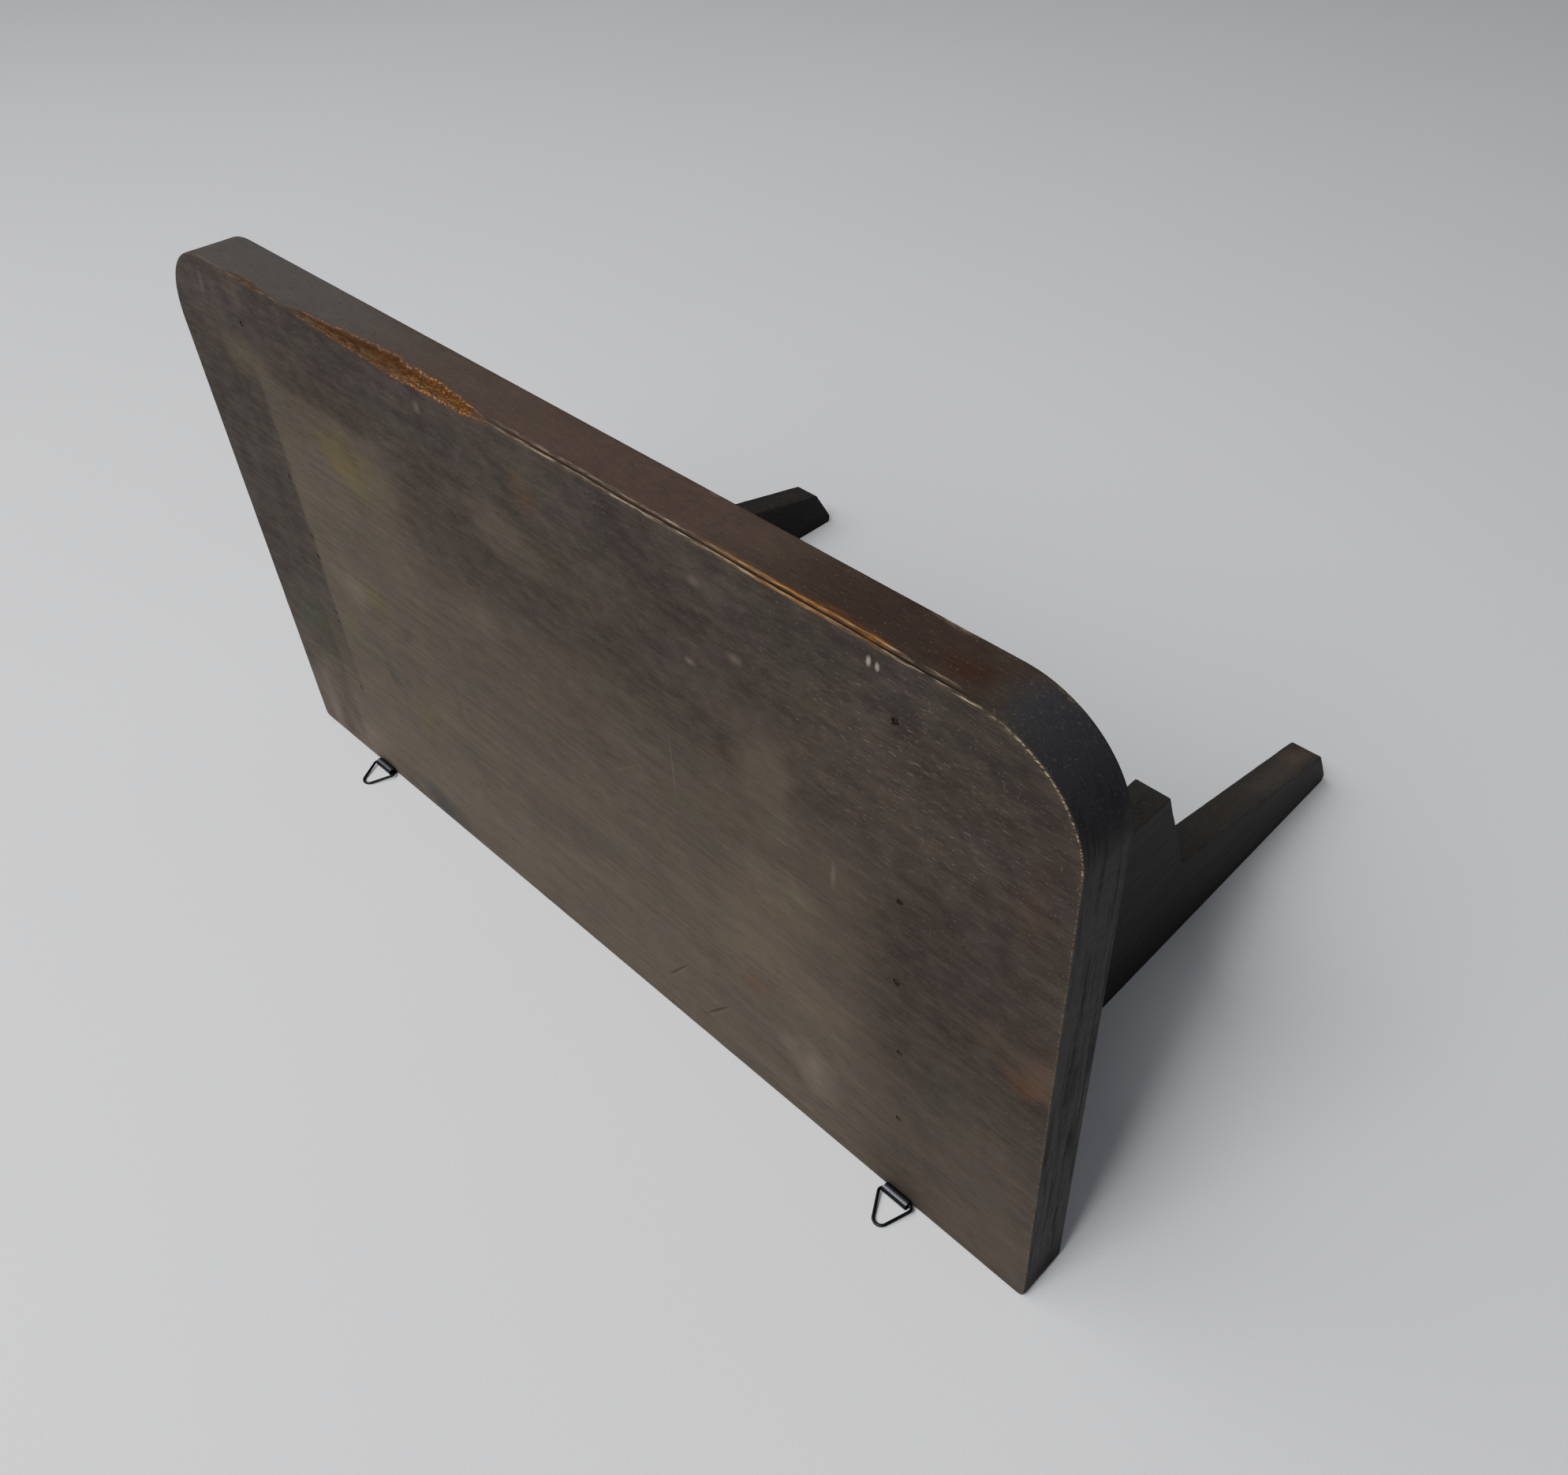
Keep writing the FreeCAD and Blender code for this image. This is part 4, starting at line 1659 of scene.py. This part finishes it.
@dataclass
class NailRow:
    """Nails driven through the board into one bracket, each a little out of line.

    Sizes are in millimetres: the heights are up from the ground and the drifts are to the right of
    the bracket's middle. The profile is (radius, distance from the head).
    """

    side: Side
    heights: tuple[float, ...] = (49.5, 88.0, 124.0, 162.5, 231.0)
    left_drifts: tuple[float, ...] = (-4.0, -4.5, -3.2, -5.8, -3.0)
    right_drifts: tuple[float, ...] = (0.6, 0.6, -1.0, 0.2, -2.2)
    profile: tuple[tuple[float, float], ...] = (
        (0.35, 0.0), (0.85, 0.04), (1.1, 0.16), (1.17, 0.34), (1.15, 0.62), (1.0, 0.8), (0.8, 0.84),
        (0.8, 29.5), (0.12, 32.0),
    )
    set_below: float = 0.22
    tilt_deg: float = 1.2
    seed: int = 7

    def places(self) -> list[tuple[float, float]]:
        """Returns (x, z) of each nail, in metres."""
        middle = middle_of("bracket_" + self.side.value)
        drifts = self.left_drifts if self.side is Side.LEFT else self.right_drifts
        return [(middle + drift * MM, z * MM) for drift, z in zip(drifts, self.heights)]

    def build(self) -> None:
        """Makes the nails and puts them in place."""
        node = "bracket_nails_" + self.side.value
        face = board_face() + self.set_below * MM
        heads = np.array([(x, face, z) for x, z in self.places()])
        template = lathe("nail", self.profile, Vector((0, 1, 0)), sides=20)
        material = BlackenedSteel(
            "rusted_wire_nail_" + self.side.value, base="2a2522", worn="5c5752", rust="3f2517",
            rust_share=0.8, smooth=0.5, rough=0.8,
        ).build()
        piece = row_of_fasteners("set_" + node, heads, template, material, self.tilt_deg, self.seed)
        put_in_place(piece, Body.SHELF, node, material)


def row_of_fasteners(
    name: str, heads: np.ndarray, template: bpy.types.Object, material: bpy.types.Material,
    tilt_deg: float, seed: int, slot: tuple[float, float, float] | None = None,
) -> bpy.types.Object:
    """Sets one fastener at each place, each a little tilted.

    Args:
        name: the piece's name.
        heads: places of the heads, in metres.
        template: one fastener at the origin, which is removed afterwards.
        material: their finish.
        tilt_deg: most that one is tilted.
        seed: seed of the tilts.
        slot: size of the cutter that makes a driver's slot, in metres, or None for no slot.

    Returns:
        One piece with all of them.
    """
    piece = mesh_piece(name, heads, [])
    form = NodeForm(name + "_form")
    tree = form.tree
    fastener = add_node(tree, "GeometryNodeObjectInfo", {0: form.size("Fastener", template, "Object")})
    shape = fastener.outputs["Geometry"]
    if slot:
        sizes = [form.size("Slot " + axis, value) for axis, value in zip("XYZ", slot)]
        size = add_node(tree, "ShaderNodeCombineXYZ", dict(enumerate(sizes)))
        cutter = add_node(tree, "GeometryNodeMeshCube", {0: size.outputs[0]})
        cut = {0: shape, 1: cutter.outputs[0]}
        shape = add_node(tree, "GeometryNodeMeshBoolean", cut, operation="DIFFERENCE").outputs[0]
    tilt = form.size("Tilt", math.radians(tilt_deg))
    back = add_node(tree, "ShaderNodeMath", {0: tilt, 1: -1.0}, operation="MULTIPLY")
    lean = add_node(
        tree,
        "FunctionNodeRandomValue",
        {0: back.outputs[0], 1: tilt, "Seed": form.size("Seed", seed, "Int")},
        data_type="FLOAT_VECTOR",
    )
    placed = add_node(
        tree,
        "GeometryNodeInstanceOnPoints",
        {"Points": form.source.outputs[0], "Instance": shape, "Rotation": lean.outputs[0]},
    )
    form.make(piece, placed.outputs[0], material)
    bpy.data.objects.remove(template)
    return piece


@dataclass
class StrapHanger:
    """Strap hanger: a strip folded round the ring's wire and screwed up under the wall side.

    Sizes are in millimetres. Distances named out are behind the board's face, and each profile is
    (radius, distance along the screw). The ring is a triangle that hangs on its base.
    """

    side: Side
    width: float = 11.5
    sheet: float = 0.45
    bore_r: float = 1.45
    tail_end: float = 36.0
    tail_end_r: float = 5.0
    fold_r: float = 0.45
    bevel: float = 0.09
    bed_depth: float = 0.9
    screw_out: tuple[float, ...] = (10.5, 28.5)
    hole_profile: tuple[tuple[float, float], ...] = ((2.45, -0.1), (1.25, 1.2), (1.25, 3.0))
    screw_profile: tuple[tuple[float, float], ...] = (
        (2.12, 0.02), (2.25, 0.1), (1.2, 1.3), (1.2, 9.0), (0.15, 12.0),
    )
    slot_size: tuple[float, float, float] = (0.6, 6.0, 1.0)
    wire_r: float = 0.65
    ring_base: float = 16.0
    half_apex_deg: float = 26.0
    base_corner_r: float = 1.4
    tip_r: float = 3.1
    ring_slide: float = 0.4
    left_turn_deg: float = 1.5
    right_turn_deg: float = 5.0
    ground_clear: float = 0.02

    def middle(self) -> float:
        """Returns the x of the strap's middle, in metres."""
        return middle_of("hanger_strap_" + self.side.value)

    def hinge(self) -> Vector:
        """Returns the middle of the rolled loop, in metres, from the ring's joint."""
        name = f"ring_{self.side.value}_hinge"
        joint = next(joint for joint in frame["joints"] if joint["name"] == name)
        return Vector(joint["pos_m"])

    def build(self) -> None:
        """Makes the strap, its screws and its ring, and puts them in place."""
        self.build_strap()
        self.build_screws()
        self.build_ring()

    def half_width(self, out: float) -> float:
        """Half the strap's width at one place, which narrows round the end of the tail.

        Args:
            out: distance behind the board's face.

        Returns:
            Half the width, in millimetres.
        """
        past = out - (self.tail_end - self.tail_end_r)
        if past <= 0:
            return self.width / 2
        round_off = self.tail_end_r - math.sqrt(max(0.0, self.tail_end_r**2 - past**2))
        return self.width / 2 - round_off

    def tail(self) -> list[float]:
        """Returns distances behind the board's face along the flat tail, from its end."""
        start = self.tail_end - self.tail_end_r
        arc = [start + self.tail_end_r * math.cos(math.radians(turn)) for turn in range(4, 91, 8)]
        return arc + list(np.linspace(start, 1.0, 12)[1:])

    def strip_path(self) -> list[tuple[float, float]]:
        """Returns the strip's middle line as (out, up): lower layer, roll, fold, upper layer."""
        hinge_out = (self.hinge().y - board_face()) / MM
        hinge_up = self.hinge().z / MM
        radius = self.bore_r + self.sheet / 2
        lower, upper = self.sheet / 2, self.sheet * 3 / 2
        path = [(out, lower) for out in self.tail()]
        for turn in range(-90, -361, -10):
            angle = math.radians(turn)
            path.append((hinge_out + radius * math.cos(angle), hinge_up + radius * math.sin(angle)))
        fold_out = hinge_out + radius + self.fold_r
        fold_up = upper + self.fold_r
        for turn in range(180, 271, 15):
            angle = math.radians(turn)
            corner = (fold_out + self.fold_r * math.cos(angle), fold_up + self.fold_r * math.sin(angle))
            path.append(corner)
        return path + [(out, upper) for out in reversed(self.tail())]

    def section(self, half: float) -> list[tuple[float, float]]:
        """Returns (across, through) round the strip's section, whose corners are bevelled."""
        thick, bevel = self.sheet / 2, self.bevel
        return [
            (-half, -thick + bevel), (-half + bevel, -thick), (half - bevel, -thick),
            (half, -thick + bevel), (half, thick - bevel), (half - bevel, thick),
            (-half + bevel, thick), (-half, thick - bevel),
        ]

    def build_strap(self) -> None:
        """Sweeps the strip along its folded path and drills its countersunk holes."""
        node = "hanger_strap_" + self.side.value
        face = board_face()
        path = np.array(self.strip_path())
        ahead = np.gradient(path, axis=0)
        ahead /= np.linalg.norm(ahead, axis=1, keepdims=True)
        across = np.stack((-ahead[:, 1], ahead[:, 0]), axis=1)
        points, wear_and_highlight = [], []
        middle = self.middle()
        # Points above this height, along the top of the roll, get a painted highlight
        highlight_from = 2 * (self.bore_r + self.sheet) - 0.5
        for (out, up), (side_out, side_up) in zip(path, across):
            section = self.section(self.half_width(out))
            for x, through in section:
                y = face + (out + side_out * through) * MM
                points.append((middle + x * MM, y, max(0.0, up + side_up * through) * MM))
                wear_and_highlight.append(0.9 if up > highlight_from else 0.1)
        sides, count = len(section), len(points)
        polygons = [tuple(range(sides)), tuple(range(count - sides, count))]
        polygons += wall_faces(len(path), sides)
        piece = mesh_piece("folded_" + node, np.array(points), polygons)
        write_mark(piece, "wear_and_highlight", wear_and_highlight)
        holes = []
        for out in self.screw_out:
            hole = lathe("hole", self.hole_profile, Vector((0, 0, 1)))
            hole.data.transform(Matrix.Translation((middle, face + out * MM, 0)))
            holes.append(hole)
        carve(piece, holes)
        material = BlackenedSteel(
            "blackened_steel_strip_" + self.side.value, base="1d1f21", worn="5f6266",
            smooth=0.42, rough=0.60,
        ).build()
        put_in_place(piece, Body.SHELF, node, material)

    def bed_cutter(self) -> bpy.types.Object:
        """Returns the shape that cuts the strap's bed into the wood."""
        face = board_face()
        rim = [(self.half_width(out), out) for out in self.tail()]
        rim.append((self.width / 2, -1.0))
        outline = rim + [(-half, out) for half, out in reversed(rim)]
        count = len(outline)
        middle = self.middle()
        points = []
        for level in (-1.0, self.bed_depth):
            for x, out in outline:
                points.append((middle + x * MM, face + out * MM, level * MM))
        polygons = [tuple(range(count)), tuple(range(count, 2 * count)), *wall_faces(2, count)]
        return mesh_piece("bed", np.array(points), polygons)

    def build_screws(self) -> None:
        """Makes the strap's two slotted screws."""
        node = "hanger_screws_" + self.side.value
        face = board_face()
        heads = np.array([(self.middle(), face + out * MM, 0.0) for out in self.screw_out])
        template = lathe("screw", self.screw_profile, Vector((0, 0, 1)), sides=28)
        material = BlackenedSteel(
            "dull_steel_screw_" + self.side.value, base="4a4744", worn="8a8680", rust="4a2d1b",
            rust_share=0.5, smooth=0.35, rough=0.6,
        ).build()
        slot = tuple(value * MM for value in self.slot_size)
        piece = row_of_fasteners(
            "slotted_" + node, heads, template, material, tilt_deg=0.0, seed=3, slot=slot
        )
        put_in_place(piece, Body.SHELF, node, material)

    def ring_wire(self, form: NodeForm, apex: float) -> Socket:
        """Adds the nodes of the ring: a triangle with its base on the x axis, rounded and swept.

        Args:
            form: the tree under construction.
            apex: millimetres from the base to the sharp tip.

        Returns:
            The geometry socket of the wire.
        """
        tree = form.tree
        base = form.size("Base", self.ring_base * MM)
        reach = form.size("Reach", -apex * MM)
        corner_r = form.size("Base Corner Radius", self.base_corner_r * MM)
        tip_r = form.size("Tip Radius", self.tip_r * MM)
        wire_r = form.size("Wire Radius", self.wire_r * MM)
        start = add_node(tree, "GeometryNodeCurvePrimitiveCircle", {"Resolution": 3, "Radius": MM})
        index = add_node(tree, "GeometryNodeInputIndex").outputs[0]
        third = {2: index, 3: 2}
        is_tip = add_node(
            tree, "FunctionNodeCompare", third, data_type="INT", operation="EQUAL"
        ).outputs[0]
        share = add_node(tree, "ShaderNodeMath", {0: index, 1: 0.5}, operation="SUBTRACT")
        along = add_node(tree, "ShaderNodeMath", {0: share.outputs[0], 1: base}, operation="MULTIPLY")
        root = add_node(tree, "ShaderNodeCombineXYZ", {0: along.outputs[0]})
        tip = add_node(tree, "ShaderNodeCombineXYZ", {1: reach})
        places = {0: is_tip, 1: root.outputs[0], 2: tip.outputs[0]}
        place = add_node(tree, "GeometryNodeSwitch", places, input_type="VECTOR")
        radii = {0: is_tip, 1: corner_r, 2: tip_r}
        radius = add_node(tree, "GeometryNodeSwitch", radii, input_type="FLOAT")
        moved = {"Geometry": start.outputs[0], "Position": place.outputs[0]}
        triangle = add_node(tree, "GeometryNodeSetPosition", moved)
        rounded = {"Curve": triangle.outputs[0], "Radius": radius.outputs[0], "Count": 12}
        path = add_node(tree, "GeometryNodeFilletCurve", rounded, mode="POLY")
        wire = add_node(tree, "GeometryNodeCurvePrimitiveCircle", {"Resolution": 20, "Radius": wire_r})
        swept = add_node(tree, "GeometryNodeCurveToMesh", {0: path.outputs[0], 1: wire.outputs[0]})
        return swept.outputs[0]

    def build_ring(self) -> None:
        """Makes the triangular wire ring, lying down from its loop to the ground."""
        left = self.side is Side.LEFT
        name = "wire_ring_" + self.side.value
        half_apex = math.radians(self.half_apex_deg)
        apex = self.ring_base / 2 / math.tan(half_apex)
        material = BlackenedSteel("blackened_steel_wire_" + self.side.value, base="232527").build()
        form = NodeForm(name + "_form")
        wire = self.ring_wire(form, apex)
        piece = form.make(mesh_piece(name, np.zeros((1, 3)), []), wire, material)
        tip_reach = apex - self.tip_r * (1 / math.sin(half_apex) - 1)
        hinge = self.hinge()
        fall = hinge.z / MM - self.wire_r - self.ground_clear
        droop = Matrix.Rotation(math.asin(fall / tip_reach), 4, "X")
        turn_deg = self.left_turn_deg if left else self.right_turn_deg
        turn = Matrix.Rotation(math.radians(turn_deg), 4, "Z")
        slide = Vector((self.middle() + self.ring_slide * MM, hinge.y, hinge.z))
        piece.data.transform(Matrix.Translation(slide) @ droop @ turn)
        body = Body.RING_LEFT if left else Body.RING_RIGHT
        put_in_place(piece, body, "hanger_ring_" + self.side.value, material)


@dataclass(frozen=True)
class AreaLight:
    """Square lamp that faces the shelf: its name, place and size in metres, and power in watts."""

    name: str
    place: tuple[float, float, float]
    size: float
    power: float

    def build(self) -> None:
        """Makes the lamp."""
        lamp = bpy.data.lights.new(self.name, "AREA")
        lamp.shape = "SQUARE"
        lamp.size = self.size
        lamp.energy = self.power
        holder = bpy.data.objects.new(self.name, lamp)
        holder.location = self.place
        holder.rotation_euler = (-Vector(self.place)).to_track_quat("-Z", "Y").to_euler()
        bpy.context.scene.collection.objects.link(holder)


@dataclass
class Studio:
    """Pale floor, a soft lamp in front, a larger one at the left, a dim room, and the camera."""

    floor_size: float = 9.0
    key: AreaLight = AreaLight("soft_key", (0.10, -1.35, 1.35), 0.8, 30.0)
    fill: AreaLight = AreaLight("soft_fill", (-0.70, -0.80, 1.50), 1.6, 32.0)
    room: str = "c3c5c9"
    room_strength: float = 0.38
    camera_place: tuple[float, float, float] = (0.33763, -0.33691, 0.46617)
    heading_deg: float = 42.414
    pitch_deg: float = -41.686
    lens: float = 31.518
    shift: tuple[float, float] = (-0.0638, -0.01547)

    def build(self) -> None:
        """Makes the floor, the lights and the camera."""
        self.build_floor()
        self.build_lights()
        self.build_camera()

    def build_floor(self) -> None:
        """Makes the floor that the shelf stands on."""
        half = self.floor_size / 2
        corners = np.array([(-half, -half, 0), (half, -half, 0), (half, half, 0), (-half, half, 0)])
        floor = mesh_piece("pale_floor", corners, [(0, 1, 2, 3)])
        floor.data.materials.append(FloorPaint().build())

    def build_lights(self) -> None:
        """Makes the two soft lamps and the even light of the room."""
        self.key.build()
        self.fill.build()
        world = bpy.data.worlds.new("room")
        world.use_nodes = True
        background = world.node_tree.nodes["Background"]
        background.inputs[0].default_value = linear(self.room)
        background.inputs[1].default_value = self.room_strength
        bpy.context.scene.world = world

    def build_camera(self) -> None:
        """Makes the camera, above the right end and looking down at the board."""
        lens = bpy.data.cameras.new("camera")
        lens.lens = self.lens
        lens.shift_x, lens.shift_y = self.shift
        lens.clip_start = 0.01
        camera = bpy.data.objects.new("camera", lens)
        camera.location = self.camera_place
        tilt = math.radians(90 + self.pitch_deg)
        camera.rotation_euler = (tilt, 0.0, math.radians(self.heading_deg))
        bpy.context.scene.collection.objects.link(camera)
        bpy.context.scene.camera = camera


def main() -> None:
    """Builds the studio and the sub-assemblies in order."""
    logging.basicConfig(level=logging.INFO, format="%(message)s")
    Studio().build()
    hangers = tuple(StrapHanger(side) for side in Side)
    nail_rows = tuple(NailRow(side) for side in Side)
    ShelfBoard(nail_rows=nail_rows, hangers=hangers).build()
    for hanger, nail_row in zip(hangers, nail_rows):
        Bracket(hanger.side, hanger).build()
        nail_row.build()
        hanger.build()


if __name__ == "__main__":
    main()
